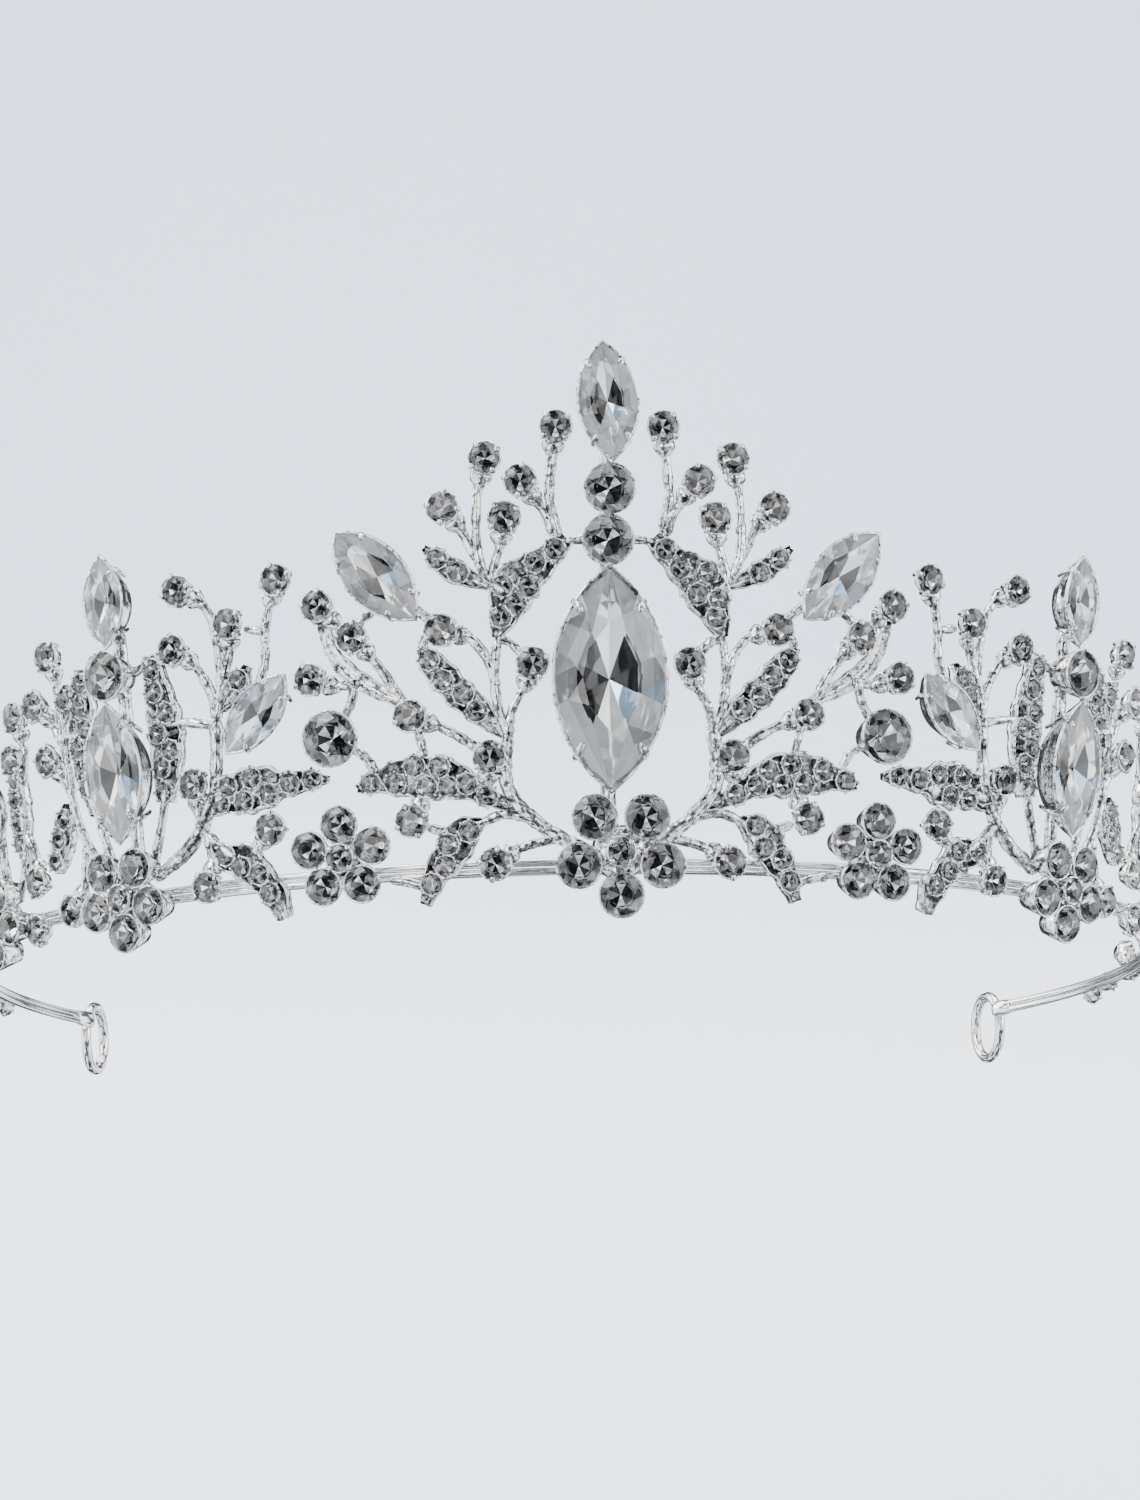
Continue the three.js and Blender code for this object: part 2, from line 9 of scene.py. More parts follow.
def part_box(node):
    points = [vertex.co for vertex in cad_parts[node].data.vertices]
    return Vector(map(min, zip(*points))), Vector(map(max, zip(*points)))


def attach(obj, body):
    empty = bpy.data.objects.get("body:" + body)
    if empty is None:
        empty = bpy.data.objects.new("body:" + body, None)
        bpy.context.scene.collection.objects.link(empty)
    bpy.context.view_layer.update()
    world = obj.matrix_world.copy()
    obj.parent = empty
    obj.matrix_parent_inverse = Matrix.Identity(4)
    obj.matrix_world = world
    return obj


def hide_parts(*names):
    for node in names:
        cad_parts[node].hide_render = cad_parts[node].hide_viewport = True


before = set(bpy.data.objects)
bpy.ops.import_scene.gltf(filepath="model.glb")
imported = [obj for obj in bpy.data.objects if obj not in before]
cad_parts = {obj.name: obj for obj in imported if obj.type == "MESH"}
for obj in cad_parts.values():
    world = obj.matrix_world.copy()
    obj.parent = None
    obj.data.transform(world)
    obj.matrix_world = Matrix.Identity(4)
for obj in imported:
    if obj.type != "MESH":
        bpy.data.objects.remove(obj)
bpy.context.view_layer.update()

# The tiara's fine model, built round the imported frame. Lengths are millimetres in the sheet the castings are
# designed in (u along the band, v up it, w out of it) until in_metres() takes them to the frame.

MM = 0.001

# ---- driving dimensions, the same as the frame's ----

ARC_RADII = (86.0, 55.0, 75.0)  # front, flank and rear of the band, seen from above
ARC_LENGTHS = (62.0, 38.0, math.inf)
BAND_HALF_LENGTH = 152.1  # to the end loop's wire
LEAN = math.radians(11)
WIRE_RADIUS = 0.42
WIRE_SETBACK = -0.8
WIRE_HEIGHTS = {"upper": -3.03, "lower": -3.97}
LOOP_RADIUS = 4.4
LOOP_WIRE_RADIUS = 0.7
LOOP_TURN = math.radians(20)
LOOP_HEIGHT = -5.2
CASTING_THICKNESS = 1.4
SEAT_GAP = 0.3
TWIG_WIDTH = 0.95
STOUT_TWIG_WIDTH = 1.4

# ---- fine dimensions, seen only here ----

PETALS = 5
PETAL_GAP = 0.1  # taken off each petal stone's diameter
HEAD_STONE = 3.3  # a claw-set stone's diameter
TWIG_END = 1.4  # how far from a head's centre its twig stops
TWIG_SIDES = 12
TWIG_LEVEL = 0.75  # height of a twig's middle over the sheet
BEAD_RADII = (0.19, 0.19, 0.22)
CUP_FOOT = 0.2  # height of a setting's foot over the sheet
CUP_SIDES = 20
CLAW_ALONG = 0.68  # how far towards a navette's tips its claws stand
WIRE_SIDES = 12
PAVE_STONE = 2.2
PAVE_PITCH = 2.46
PAVE_RIM = 0.12
HEART_STONE = 2.9
HEAD_LIFT = 0.5  # a claw-set stone's girdle over the casting's face
PAVE_SINK = 0.02  # a bedded stone's girdle under it
HEART_LIFT = 0.45  # the heart stone's girdle over its petals'
HEART_CUP_HEIGHT = 1.45
GIRDLE_LEVEL = 0.73  # of a stone's depth, from its culet: a deep back under a low crown
ROUND_DEPTH = 0.57
NAVETTE_DEPTH = 0.5
ROUND_RIM = 0.17  # a round setting's wall outside its stone
NAVETTE_RIM = 0.25
LOBE_DEPTH = 0.07  # how far a leaf's edge follows the stones in it
BED_PAINTED_SHADE = 0.7  # painted shade: how much darker the plating is painted down in a leaf's bed, against 1 on the open surface
GROOVE_PAINTED_SHADE = 0.35  # painted shade the same way, on random lengthwise streaks along a twig, painted dark like shaded grooves
SIDES = [(-1, "left"), (1, "right")]


# ---- the sheet ----

def plan_at(u):
    """Plan point and heading of the band at arc length u, arc by arc."""
    left, x, y, heading = np.abs(u), np.zeros_like(u), np.zeros_like(u), np.zeros_like(u)
    for radius, length in zip(ARC_RADII, ARC_LENGTHS):
        step = np.minimum(left, length)
        turned = heading + step / radius
        x = x + radius * (np.sin(turned) - np.sin(heading))
        y = y + radius * (np.cos(heading) - np.cos(turned))
        heading = turned
        left = left - step
    return np.sign(u) * x, y, np.sign(u) * heading


def sheet_axes(u):
    """The sheet's directions at u: along the band, up the sheet and out of it."""
    heading = plan_at(u)[2]
    zero = np.zeros_like(heading)
    along = np.stack([np.cos(heading), np.sin(heading), zero], -1)
    outward = np.stack([np.sin(heading), -np.cos(heading), zero], -1)
    up = outward * math.sin(LEAN) + np.array([0, 0, math.cos(LEAN)])
    return along, up, np.cross(along, up)


def sheet_to_space(points):
    points = np.asarray(points, float)
    u, v, w = points[:, 0], points[:, 1], points[:, 2]
    x, y, _ = plan_at(u)
    _, up, out = sheet_axes(u)
    return np.stack([x, y, np.zeros_like(x)], -1) + up * v[:, None] + out * w[:, None]


def loop_direction(side):
    """From the band's end towards the loop's middle: the band's own line, turned a little outwards."""
    heading = plan_at(np.array([side * BAND_HALF_LENGTH]))[2][0] - side * LOOP_TURN
    return side * np.array([math.cos(heading), math.sin(heading), 0.0])


def frame_offset():
    """From the sheet's own zero to the frame's, found from where the right end loop is."""
    low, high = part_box("end_loop_right")
    loop = sheet_to_space([[BAND_HALF_LENGTH, 0, WIRE_SETBACK]])[0] + LOOP_RADIUS * loop_direction(1)
    loop[2] = LOOP_HEIGHT
    return np.array((low + high) / 2) / MM - loop


OFFSET = frame_offset()


def in_metres(points):
    return (sheet_to_space(points) + OFFSET) * MM


def frame_at(u, v, w, turn=0.0):
    """A rigid place on the sheet: a matrix from local millimetres to the frame's metres."""
    along, up, out = (axis[0] for axis in sheet_axes(np.array([float(u)])))
    basis = Matrix((along, up, out)).transposed().to_4x4()
    place = Matrix.Translation(Vector(in_metres([[u, v, w]])[0]))
    return place @ basis @ Matrix.Rotation(turn, 4, "Z") @ Matrix.Scale(MM, 4)


# ---- mesh building ----

class Shape:
    """Closed pieces gathered into one mesh: points in metres, faces, and each face's material and painted
    tone: painted shade on metal, painted reflections on foil.
    """

    def __init__(self):
        self.points = []
        self.faces = []
        self.slots = []
        self.tones = []

    def add(self, points, faces, slots=None, tones=None):
        start = len(self.points)
        self.points.extend(map(tuple, points))
        self.faces.extend(tuple(start + i for i in face) for face in faces)
        self.slots.extend(slots or [0] * len(faces))
        self.tones.extend(tones or [1.0] * len(faces))

    def add_bent(self, points, faces, tones=None):
        self.add(in_metres(points), faces, tones=tones)

    def add_rigid(self, matrix, points, faces, slots=None, tones=None):
        self.add([matrix @ Vector(p) for p in points], faces, slots, tones)

    def piece(self, name, materials, smooth=True):
        mesh = bpy.data.meshes.new(name)
        mesh.from_pydata(self.points, [], self.faces)
        for one in materials:
            mesh.materials.append(one)
        mesh.polygons.foreach_set("material_index", self.slots)
        mesh.polygons.foreach_set("use_smooth", [smooth] * len(self.faces))
        # Painted light: each face's tone is painted shade on metal and painted reflections on a stone's foil,
        # 1 where nothing is painted.
        mesh.attributes.new("painted_light_tone", "FLOAT", "FACE").data.foreach_set("value", self.tones)
        mesh.update()
        made = bpy.data.objects.new(name, mesh)
        bpy.context.scene.collection.objects.link(made)
        return made


def loft(rings):
    """A closed skin over rings of equal length, with a fan at each end."""
    size = len(rings[0])
    points = [p for ring in rings for p in ring]
    faces = []
    for i in range(len(rings) - 1):
        for k in range(size):
            a, b = i * size + k, i * size + (k + 1) % size
            faces.append((a, b, b + size, a + size))
    for first, turn in ((0, -1), ((len(rings) - 1) * size, 1)):
        middle = np.mean(points[first:first + size], axis=0)
        points.append(middle)
        for k in range(size):
            edge = (first + k, first + (k + 1) % size)[::turn]
            faces.append((*edge, len(points) - 1))
    return points, faces


def smooth_path(points, steps=5):
    """A Catmull-Rom curve through the points, of any number of coordinates."""
    p = np.array(points, float)
    p = np.vstack([2 * p[0] - p[1], p, 2 * p[-1] - p[-2]])
    curve = []
    for i in range(1, len(p) - 2):
        a, b, c, d = p[i - 1:i + 3]
        for t in np.arange(steps) / steps:
            bend = (c - a) * t + (2 * a - 5 * b + 4 * c - d) * t ** 2 + (3 * b - a - 3 * c + d) * t ** 3
            curve.append(b + bend / 2)
    return np.array(curve + [p[-2]])


def across(path):
    """Unit directions square to a path in the (u, v) plane."""
    run = np.gradient(path[:, :2], axis=0)
    run /= np.linalg.norm(run, axis=1)[:, None]
    return np.stack([-run[:, 1], run[:, 0]], -1)


def distance_along(path):
    """Length along a path in the (u, v) plane, at each of its points."""
    return np.concatenate([[0], np.cumsum(np.linalg.norm(np.diff(path[:, :2], axis=0), axis=1))])


def round_angles(count):
    """Evenly spaced angles over one full turn."""
    return 2 * math.pi * np.arange(count) / count


def grain(point, size):
    """Repeatable noise from -1 to 1, for the cast surface's unevenness."""
    return noise.noise(Vector(point) / size)


def lathe(profile, sides):
    """A turned form about w from (radius, w) pairs."""
    return loft([[(r * math.cos(a), r * math.sin(a), w) for a in round_angles(sides)] for r, w in profile])


# ---- cast metal ----

def clear_of(path, centres, reach):
    """The path's points that are further than reach from every centre."""
    return np.array([p for p in path if all(math.dist(p[:2], c) > reach for c in centres)])


def twig_form(points, width, heads=()):
    """A cast twig: rounder at the front than the back, uneven, a little stouter where it starts.
    It stops short of any head it meets, inside the head's bell."""
    path = clear_of(smooth_path(points, 9), heads, TWIG_END)
    sideways = across(path)
    rings = []
    for i, (u, v) in enumerate(path):
        t = i / (len(path) - 1)
        radius = width / 2 * (1.1 - 0.12 * t + 0.3 * grain((u, v, width), 0.6))
        if i in (0, len(path) - 1):
            radius *= 0.6
        ring = []
        for a in round_angles(TWIG_SIDES):
            lift = radius * math.sin(a) * (1.15 if math.sin(a) > 0 else 0.75)
            offset = radius * math.cos(a)
            ring.append((u + sideways[i, 0] * offset, v + sideways[i, 1] * offset, TWIG_LEVEL + lift))
        rings.append(ring)
    form, faces = loft(rings)
    # Painted shade: runs of faces picked by noise along the twig are painted dark, like shaded grooves the
    # form doesn't have.
    tones = [1.0] * len(faces)
    for i in range(len(rings) - 1):
        for k in range(TWIG_SIDES):
            if grain((*path[i], 2.0 * k), 1.3) < -0.2:
                tones[i * TWIG_SIDES + k] = GROOVE_PAINTED_SHADE
    return form, faces, tones


LEAF_SECTION = [  # across a leaf bed: share of the half width, and height
    (-0.92, 0.1), (-1.0, 0.6), (-0.99, 1.15), (-0.91, 1.36), (-0.82, 1.28), (-0.74, 0.5),
    (0.0, 0.35),
    (0.74, 0.5), (0.82, 1.28), (0.91, 1.36), (0.99, 1.15), (1.0, 0.6), (0.92, 0.1),
]
LEAF_BED = range(4, 8)  # the section's segments that lie down in the bed, which get the painted shade


def leaf_form(spine, bed_painted_shade=1.0):
    """A leaf bed with a raised rim, along a spine of (u, v, half width), its bed darkened with painted shade.
    """
    path = smooth_path(spine, 10)
    sideways = across(path)
    run = distance_along(path)
    rings = []
    for i, (u, v, half) in enumerate(path):
        lobe = LOBE_DEPTH * math.cos(2 * math.pi * (run[i] / PAVE_PITCH - 0.62))
        swell = max(half, 0.3) * (1 + lobe + 0.08 * grain((u, v, 3), 0.7))
        rings.append([
            (u - sideways[i, 0] * swell * share, v - sideways[i, 1] * swell * share, height)
            for share, height in LEAF_SECTION
        ])
    form, faces = loft(rings)
    size = len(LEAF_SECTION)
    # Painted shade: the faces down in the bed are painted darker, as though in shadow.
    tones = [1.0] * len(faces)
    for i in range(size * (len(rings) - 1)):
        if i % size in LEAF_BED:
            tones[i] = bed_painted_shade
    return form, faces, tones


def bead(at, radii, sides=7):
    """A small uneven cast bead."""
    rings = []
    for level in (-0.98, -0.65, 0.0, 0.65, 0.98):
        reach = math.sqrt(1 - level ** 2)
        height = at[2] + radii[2] * level
        rings.append([
            (at[0] + radii[0] * reach * math.cos(a), at[1] + radii[1] * reach * math.sin(a), height)
            for a in round_angles(sides)
        ])
    return loft(rings)


CLAW_RINGS = [  # up a claw: share of its height, how far out it leans, and its thickness
    (0, 0.84, 0.7), (0.6, 1.0, 0.9), (0.85, 0.98, 1.1), (1.0, 0.90, 1.15), (1.08, 0.86, 0.6),
]
CLAW_SIDES = 6


def claw_form(angle, reach, low, high, thick):
    """A claw that rises beside a stone and bends in over its edge."""
    cos, sin = math.cos(angle), math.sin(angle)
    rings = []
    for share, lean, size in CLAW_RINGS:
        r, w = reach * lean, low + (high - low) * share
        ring = []
        for a in round_angles(CLAW_SIDES):
            x, y = r + thick * size * math.cos(a), thick * size * math.sin(a)
            ring.append((x * cos - y * sin, x * sin + y * cos, w))
        rings.append(ring)
    return loft(rings)


def add_round_setting(shape, place, diameter, foot, girdle, claws=4, turn=math.pi / 4, rim=ROUND_RIM):
    """A cup up to a round stone's girdle, with claws over its edge. place has w = 0 on the sheet."""
    r = diameter / 2
    profile = [
        (0.45 * r, foot), (0.62 * r, foot + 0.15), (0.86 * r, (foot + girdle) / 2),
        (r + 0.8 * rim, girdle - 0.25), (r + rim, girdle + 0.02), (r + 0.2 * rim, girdle + 0.1),
        (0.9 * r, girdle - 0.25), (0.3 * r, foot + 0.12),
    ]
    shape.add_rigid(place, *lathe(profile, CUP_SIDES))
    thick = 0.2 + 0.022 * diameter
    for k in range(claws):
        angle = turn + 2 * math.pi * k / claws
        shape.add_rigid(place, *claw_form(angle, r + 0.1, foot + 0.5, girdle + 0.085 * diameter, thick))


def navette_half_width(t, length, width):
    radius = (length ** 2 + width ** 2) / (4 * width)
    return math.sqrt(radius ** 2 - (t * length / 2) ** 2) - (radius - width / 2)


def navette_outline(length, width, steps):
    """Points round a navette, anticlockwise from the upper tip, its length along y."""
    points = []
    for i in range(2 * steps):
        side = -1 if i < steps else 1
        t = -side * (1 - 2 * (i % steps) / steps)
        points.append((side * navette_half_width(t, length, width), t * length / 2))
    return points


def add_navette_setting(shape, place, size, foot, girdle):
    """A thin-walled cup along a navette's outline, with two claws on each side, one towards either tip."""
    length, width = size
    outline = np.array(navette_outline(length, width, 12))
    wall = [(0.5, foot), (0.62, foot + 0.2), (0.86, (foot + girdle) / 2), (1.0, girdle - 0.4)]
    rings = [[(x * s, y * s, w) for x, y in outline] for s, w in wall]
    for grow, w in ((NAVETTE_RIM, girdle - 0.15), (NAVETTE_RIM, girdle + 0.1), (0.02, girdle + 0.12)):
        rings.append([(x * (1 + 2 * grow / width), y * (1 + 2 * grow / length), w) for x, y in outline])
    rings.append([(0.93 * x, 0.93 * y, girdle - 0.35) for x, y in outline])
    rings.append([(0.45 * x, 0.45 * y, foot + 0.5) for x, y in outline])
    shape.add_rigid(place, *loft(rings))
    high = girdle + 0.06 * width
    thick = 0.2 + 0.018 * width
    for side in (-1, 1):
        for along in (-CLAW_ALONG, CLAW_ALONG):
            reach = Vector((side * navette_half_width(along, length, width), along * length / 2))
            angle = math.atan2(reach.y, reach.x)
            shape.add_rigid(place, *claw_form(angle, reach.length + 0.1, foot + 0.8, high, thick))


# ---- stones ----

CRYSTAL, FOIL = 0, 1  # material slots of a stone

# Painted reflections: how bright the foil is painted on each back facet, standing in for what the facet
# reflects,
# anticlockwise from the right: the outer tier, then the inner one round the culet. A round stone's are turned
# from stone to stone.
ROUND_PAINTED_REFLECTIONS = (
    (0.30, 0.06, 0.48, 0.12, 0.34, 0.03, 0.56, 0.10),
    (0.00, 0.95, 0.02, 0.42, 0.00, 1.0, 0.10, 0.00),
)
NAVETTE_PAINTED_REFLECTIONS = (
    (0.56, 1.0, 1.0, 0.84, 0.50, 1.0, 0.76, 0.44, 0.90, 1.0, 1.0, 0.54, 1.0, 0.80),
    (0.03, 0.60, 0.92, 0.22, 0.03, 1.0, 0.97, 0.80),
)
INNER_TIER = 0.52  # where the two tiers of back facets meet, as a share of the girdle
TABLE = 0.56  # the table against the girdle
NAVETTE_TABLE = 0.5
NAVETTE_BACK = 0.8


def cut_stone(outline, depth, tones, table=TABLE, back=1.0, seat=0.0, start=0):
    """A faceted stone over a girdle outline: table, star and kite facets above, two tiers of facets below.
    back is how much of the room under the girdle the stone takes up."""
    flat = np.array(outline)
    girdle = GIRDLE_LEVEL * depth
    crown = depth - girdle
    culet = (1 - back) * girdle
    waist = culet + 0.42 * back * girdle
    levels = [
        (flat[::2], table, depth),
        (flat[1::2], 0.79, girdle + 0.62 * crown),
        (flat, 1.0, girdle + 0.08 * crown),
        (flat, 1.0, girdle - 0.05 * crown),
        (flat[1::2], INNER_TIER, waist),
    ]
    work = bmesh.new()
    for ring, scale, z in levels:
        for x, y in ring:
            work.verts.new((x * scale, y * scale, z + seat))
    work.verts.new((0, 0, culet + seat))
    bmesh.ops.convex_hull(work, input=list(work.verts))
    flatness = math.radians(1.0)
    bmesh.ops.dissolve_limit(work, angle_limit=flatness, verts=list(work.verts), edges=list(work.edges))
    bmesh.ops.recalc_face_normals(work, faces=list(work.faces))
    work.verts.index_update()
    points = [tuple(v.co) for v in work.verts]
    faces = [[v.index for v in f.verts] for f in work.faces]
    slots = [FOIL if f.normal.z < -0.02 else CRYSTAL for f in work.faces]
    work.free()
    split = seat + (culet + waist) / 2  # only the inner tier reaches below this
    # Painted reflections: each foil back facet gets its painted tone from the runs in tones.
    shades = [1.0] * len(faces)
    for inner, run in zip((False, True), tones):
        tier = [i for i in range(len(faces)) if slots[i] == FOIL
                and (min(points[k][2] for k in faces[i]) < split) == inner]
        tier.sort(key=lambda i: facet_angle(points, faces[i]))
        for place, i in enumerate(tier):
            shades[i] = run[int(place * len(run) / len(tier) + start) % len(run)]
    return points, faces, slots, shades


def facet_angle(points, face):
    """A facet's direction from the stone's axis, seen from above, over a full turn that starts a little
    clockwise of the right, where no facet is centred."""
    x, y, _ = np.mean([points[i] for i in face], axis=0)
    return (math.atan2(y, x) + 0.05) % (2 * math.pi)


def round_outline(diameter, count=16):
    return [(diameter / 2 * math.cos(a), diameter / 2 * math.sin(a)) for a in round_angles(count)]


def round_stone(diameter, seat=0.0, start=0):
    return cut_stone(round_outline(diameter), ROUND_DEPTH * diameter, ROUND_PAINTED_REFLECTIONS, seat=seat, start=start)


def navette_stone(length, width):
    outline = navette_outline(length, width, 8)
    return cut_stone(outline, NAVETTE_DEPTH * width, NAVETTE_PAINTED_REFLECTIONS, NAVETTE_TABLE, NAVETTE_BACK)


def start_at(at):
    """Where a stone's run of painted reflection tones starts, from its place, so that neighbours differ."""
    return int(abs(at[0]) * 7 + abs(at[1]) * 3)


# ---- the design, in sheet millimetres; side pieces are mirrored ----

CENTRE_COLUMN = {
    "centre_marquise": {"at": (-0.5, 15.7), "size": (23.4, 11.8), "turn": 0},
    "lower_chaton": {"at": (-0.4, 30.35), "size": 5.2},
    "upper_chaton": {"at": (-0.2, 35.75), "size": 5.2},
    "top_marquise": {"at": (-0.3, 44.9), "size": (12.4, 6.2), "turn": 5},
}
CENTRE_FLOWER = {"at": (0.6, -2.1), "ring": 4.45, "petal": 2.35, "top_angle": 54}
CENTRE_SIDE_STONES = {
    "wing_marquise": {"at": (22.5, 27.5), "size": (12.6, 6.2), "turn": -40},
    "round_chaton": {"at": (28.0, 10.9), "size": 5.8},
}
SMALL_FLOWER = {"at": (27.9, -1.6), "ring": 3.5, "petal": 1.95, "top_angle": 90}
SIDE_STONES = {
    "side_top_marquise": {"at": (52.1, 28.9), "size": (10, 5), "turn": 3},
    "side_chaton": {"at": (52.7, 20.9), "size": 5.3},
    "side_marquise": {"at": (52.5, 10.2), "size": (15.2, 7.4), "turn": 0},
    "spray_marquise": {"at": (35.8, 14.3), "size": (10.4, 5), "turn": 45},
}
SIDE_FLOWER = {"at": (54.0, -3.2), "ring": 3.75, "petal": 2.1, "top_angle": 54}
END_STONES = {
    "end_chaton": {"at": (75.2, 18.3), "size": 4.8},
    "end_marquise": {"at": (75.2, 9.6), "size": (11.4, 5.6), "turn": 0},
}
END_FLOWER = {"at": (75.5, -2.8), "ring": 3.5, "petal": 1.9, "top_angle": 54}

CENTRE_TWIGS = [
    [(0.2, -1), (-0.4, 4), (-0.4, 30), (-0.2, 35.5), (-0.3, 40)],
]
CENTRE_SPRIG = {
    "stout": [[(2.5, -2), (5.8, -0.3), (8.4, 1.7), (10.5, 4.3), (10.9, 6.5), (10.6, 9.7), (10.4, 11.4)]],
    "twigs": [
        [(10.4, 11.4), (9.9, 13.3), (8.5, 15.8), (7.8, 17.7)],
        [(10.5, 10.4), (11.4, 13.2), (11.7, 16.5), (11.3, 20.6)],
        [(11.3, 20.6), (10.0, 20.0), (8.9, 18.8), (7.8, 17.7)],
        [(11.5, 15.3), (12.4, 18.5), (14.3, 20.9), (17.0, 21.7)],
        [(5.0, 31.0), (5.8, 34.9), (5.6, 38.5), (5.1, 42.6)],
        [(5.5, 31.2), (6.2, 33.4), (7.6, 35.6), (8.6, 37.0)],
        [(10.4, 25.4), (11.6, 26.9), (10.7, 30.5), (10.2, 33.1)],
        [(12.0, 26.3), (13.0, 29.8), (12.8, 35.8), (11.9, 39.5)],
        [(13.0, 28.8), (14.7, 32.5), (16.1, 34.5)],
        [(18.9, 19.8), (18.4, 21.2), (17.0, 21.7)],
        [(12.4, 8.1), (15.2, 10.2), (17.6, 11.6), (20.3, 12.8)],
        [(19.2, 8.4), (19.5, 10.2), (20.3, 12.8)],
        [(20.3, 12.8), (21.8, 15.6), (23.8, 18.9), (25.8, 21.5)],
        [(25.6, 16.9), (28.0, 16.6), (30.6, 17.7)],
        [(26.0, 16.8), (26.6, 14.6), (28.0, 12.4)],
        [(24.3, 7.0), (25.4, 8.9), (27.0, 10.0)],
        [(19.5, 5.3), (19.8, 3.6), (20.6, 1.8)],
        [(17.0, 0.4), (18.8, 1.0), (20.6, 1.8)],
        [(8.2, 1.5), (11.0, 2.1), (13.2, 1.4), (14.4, 0.6)],
        [(5.8, -0.6), (8.6, -1.2), (10.6, -2.0), (12.2, -3.1)],
        [(19.6, -5.2), (21.6, -4.5), (23.4, -4.2)],
        [(16.9, 21.7), (18.5, 23.3), (20.6, 25.2)],
        [(23.6, 24.4), (25.2, 23.0), (25.8, 21.5)],
    ],
    "leaves": [
        [(4.2, 30.9, 0.9), (6.6, 28.5, 1.6), (9.1, 26.3, 2.5), (10.3, 23.6, 1.9), (11.4, 20.6, 0.5)],
        [(19.0, 19.9, 0.5), (17.6, 17.8, 1.5), (15.8, 15.5, 1.6), (13.6, 13.2, 1.5), (11.0, 10.4, 0.5)],
        [(26.4, 5.6, 0.5), (24.0, 6.2, 1.3), (20.4, 6.5, 2.4), (17.0, 6.1, 2.3), (14.5, 5.0, 1.4),
         (12.0, 3.6, 0.9), (9.4, 2.8, 0.6)],
        [(13.4, 1.4, 0.6), (15.5, 0.2, 1.9), (17.0, -2.0, 1.9), (18.5, -4.0, 1.4), (19.8, -7.0, 0.6)],
        [(18.2, 30.5, 0.4), (15.5, 28.0, 1.3), (12.0, 26.0, 0.4)],
    ],
    "plain_leaves": [
        [(29.1, 24.6, 0.5), (28.2, 20.4, 0.7), (25.6, 17.1, 1.0), (21.0, 14.2, 0.6)],
    ],
    "heads": [
        (5.1, 42.6), (11.9, 39.5), (8.6, 37.0), (16.1, 34.5), (10.2, 33.1), (16.8, 21.6), (7.8, 17.7),
        (29.2, 25.2), (25.8, 21.5), (30.4, 17.5), (20.3, 12.8), (12.4, 8.1), (20.6, 1.8), (12.2, -3.1),
    ],
}
SIDE_SPRIG = {
    "stout": [
        [(51.0, -1.5), (46.7, 0.9), (44.2, 3.6), (42.5, 6.8), (42.0, 10.0), (41.5, 14.5)],
        [(53.6, -2), (52.9, 3), (52.6, 18), (52.4, 26)],
    ],
    "twigs": [
        [(41.5, 14.5), (40.7, 18.3), (40.6, 22.0), (41.2, 25.6), (42.5, 27.6), (44.3, 28.8)],
        [(40.7, 17.8), (39.3, 21.8), (38.9, 24.5)],
        [(41.5, 14.6), (41.9, 17.6), (43.6, 20.8), (45.5, 22.6)],
        [(38.5, 14.2), (35.7, 19.3), (35.2, 23.2), (34.5, 26.2), (33.3, 28.5)],
        [(35.2, 23.3), (37.0, 23.7), (38.9, 24.5)],
        [(44.3, 3.2), (44.8, 5.6), (44.5, 7.9)],
        [(41.6, 13.8), (44.5, 14.6), (47.8, 15.0)],
        [(51.0, 0.0), (49.6, 4.0), (48.4, 8.0)],
        [(43.0, 5.6), (41.4, 6.0), (39.0, 6.4)],
        [(44.4, 3.0), (42.8, 1.4), (41.0, -0.3)],
        [(38.4, -0.2), (37.2, 1.2), (35.9, 2.2)],
        [(43.8, 2.4), (43.6, -1.2), (44.0, -3.2)],
        [(56.4, 0.0), (57.6, 4.0), (58.2, 8.0)],
        [(57.0, -0.6), (59.6, 2.6), (61.2, 6.8), (61.6, 11.5), (61.7, 17.5), (62.0, 24.8)],
        [(61.6, 14.0), (63.0, 17.2), (64.8, 19.8)],
        [(61.5, 9.5), (62.6, 11.4), (63.8, 13.4)],
        [(60.2, 3.4), (61.2, -0.8), (62.8, -3.5)],
        [(58.7, 15.5), (61.4, 15.8)],
        [(48.6, 21.8), (52.7, 20.9), (58.0, 21.8)],
    ],
    "leaves": [
        [(29.5, 6.9, 0.4), (31.8, 7.0, 1.2), (34.4, 6.8, 1.5), (37.0, 6.7, 2.5), (40.2, 6.4, 2.3),
         (43.0, 5.2, 1.0)],
        [(42.9, 1.0, 0.5), (41.4, -0.3, 1.6), (39.6, -0.9, 2.0), (37.8, -2.8, 1.5), (36.3, -5.0, 1.5),
         (35.5, -7.3, 0.8)],
        [(48.7, 22.6, 0.8), (48.3, 19.0, 1.5), (47.8, 15.0, 2.1), (47.9, 11.0, 1.9), (48.6, 6.5, 0.9)],
        [(57.9, 22.6, 0.8), (58.3, 19.0, 1.5), (58.7, 15.0, 2.0), (58.6, 11.0, 1.8), (57.9, 6.5, 0.9)],
        [(62.0, 8.2, 0.6), (62.9, 6.3, 1.5), (64.0, 3.7, 1.5), (65.4, 1.2, 0.7)],
        [(37.4, 19.8, 0.4), (38.9, 17.8, 1.2), (41.0, 15.6, 0.5)],
        [(60.0, 21.2, 0.5), (60.9, 19.2, 1.2), (61.7, 16.8, 0.5)],
    ],
    "plain_leaves": [],
    "heads": [
        (33.3, 28.5), (38.9, 24.5), (44.4, 28.9), (45.5, 22.6), (44.5, 7.9), (35.9, 2.2), (44.0, -3.2),
        (62.0, 24.8), (64.8, 19.8), (63.8, 13.4), (62.8, -3.5),
    ],
}
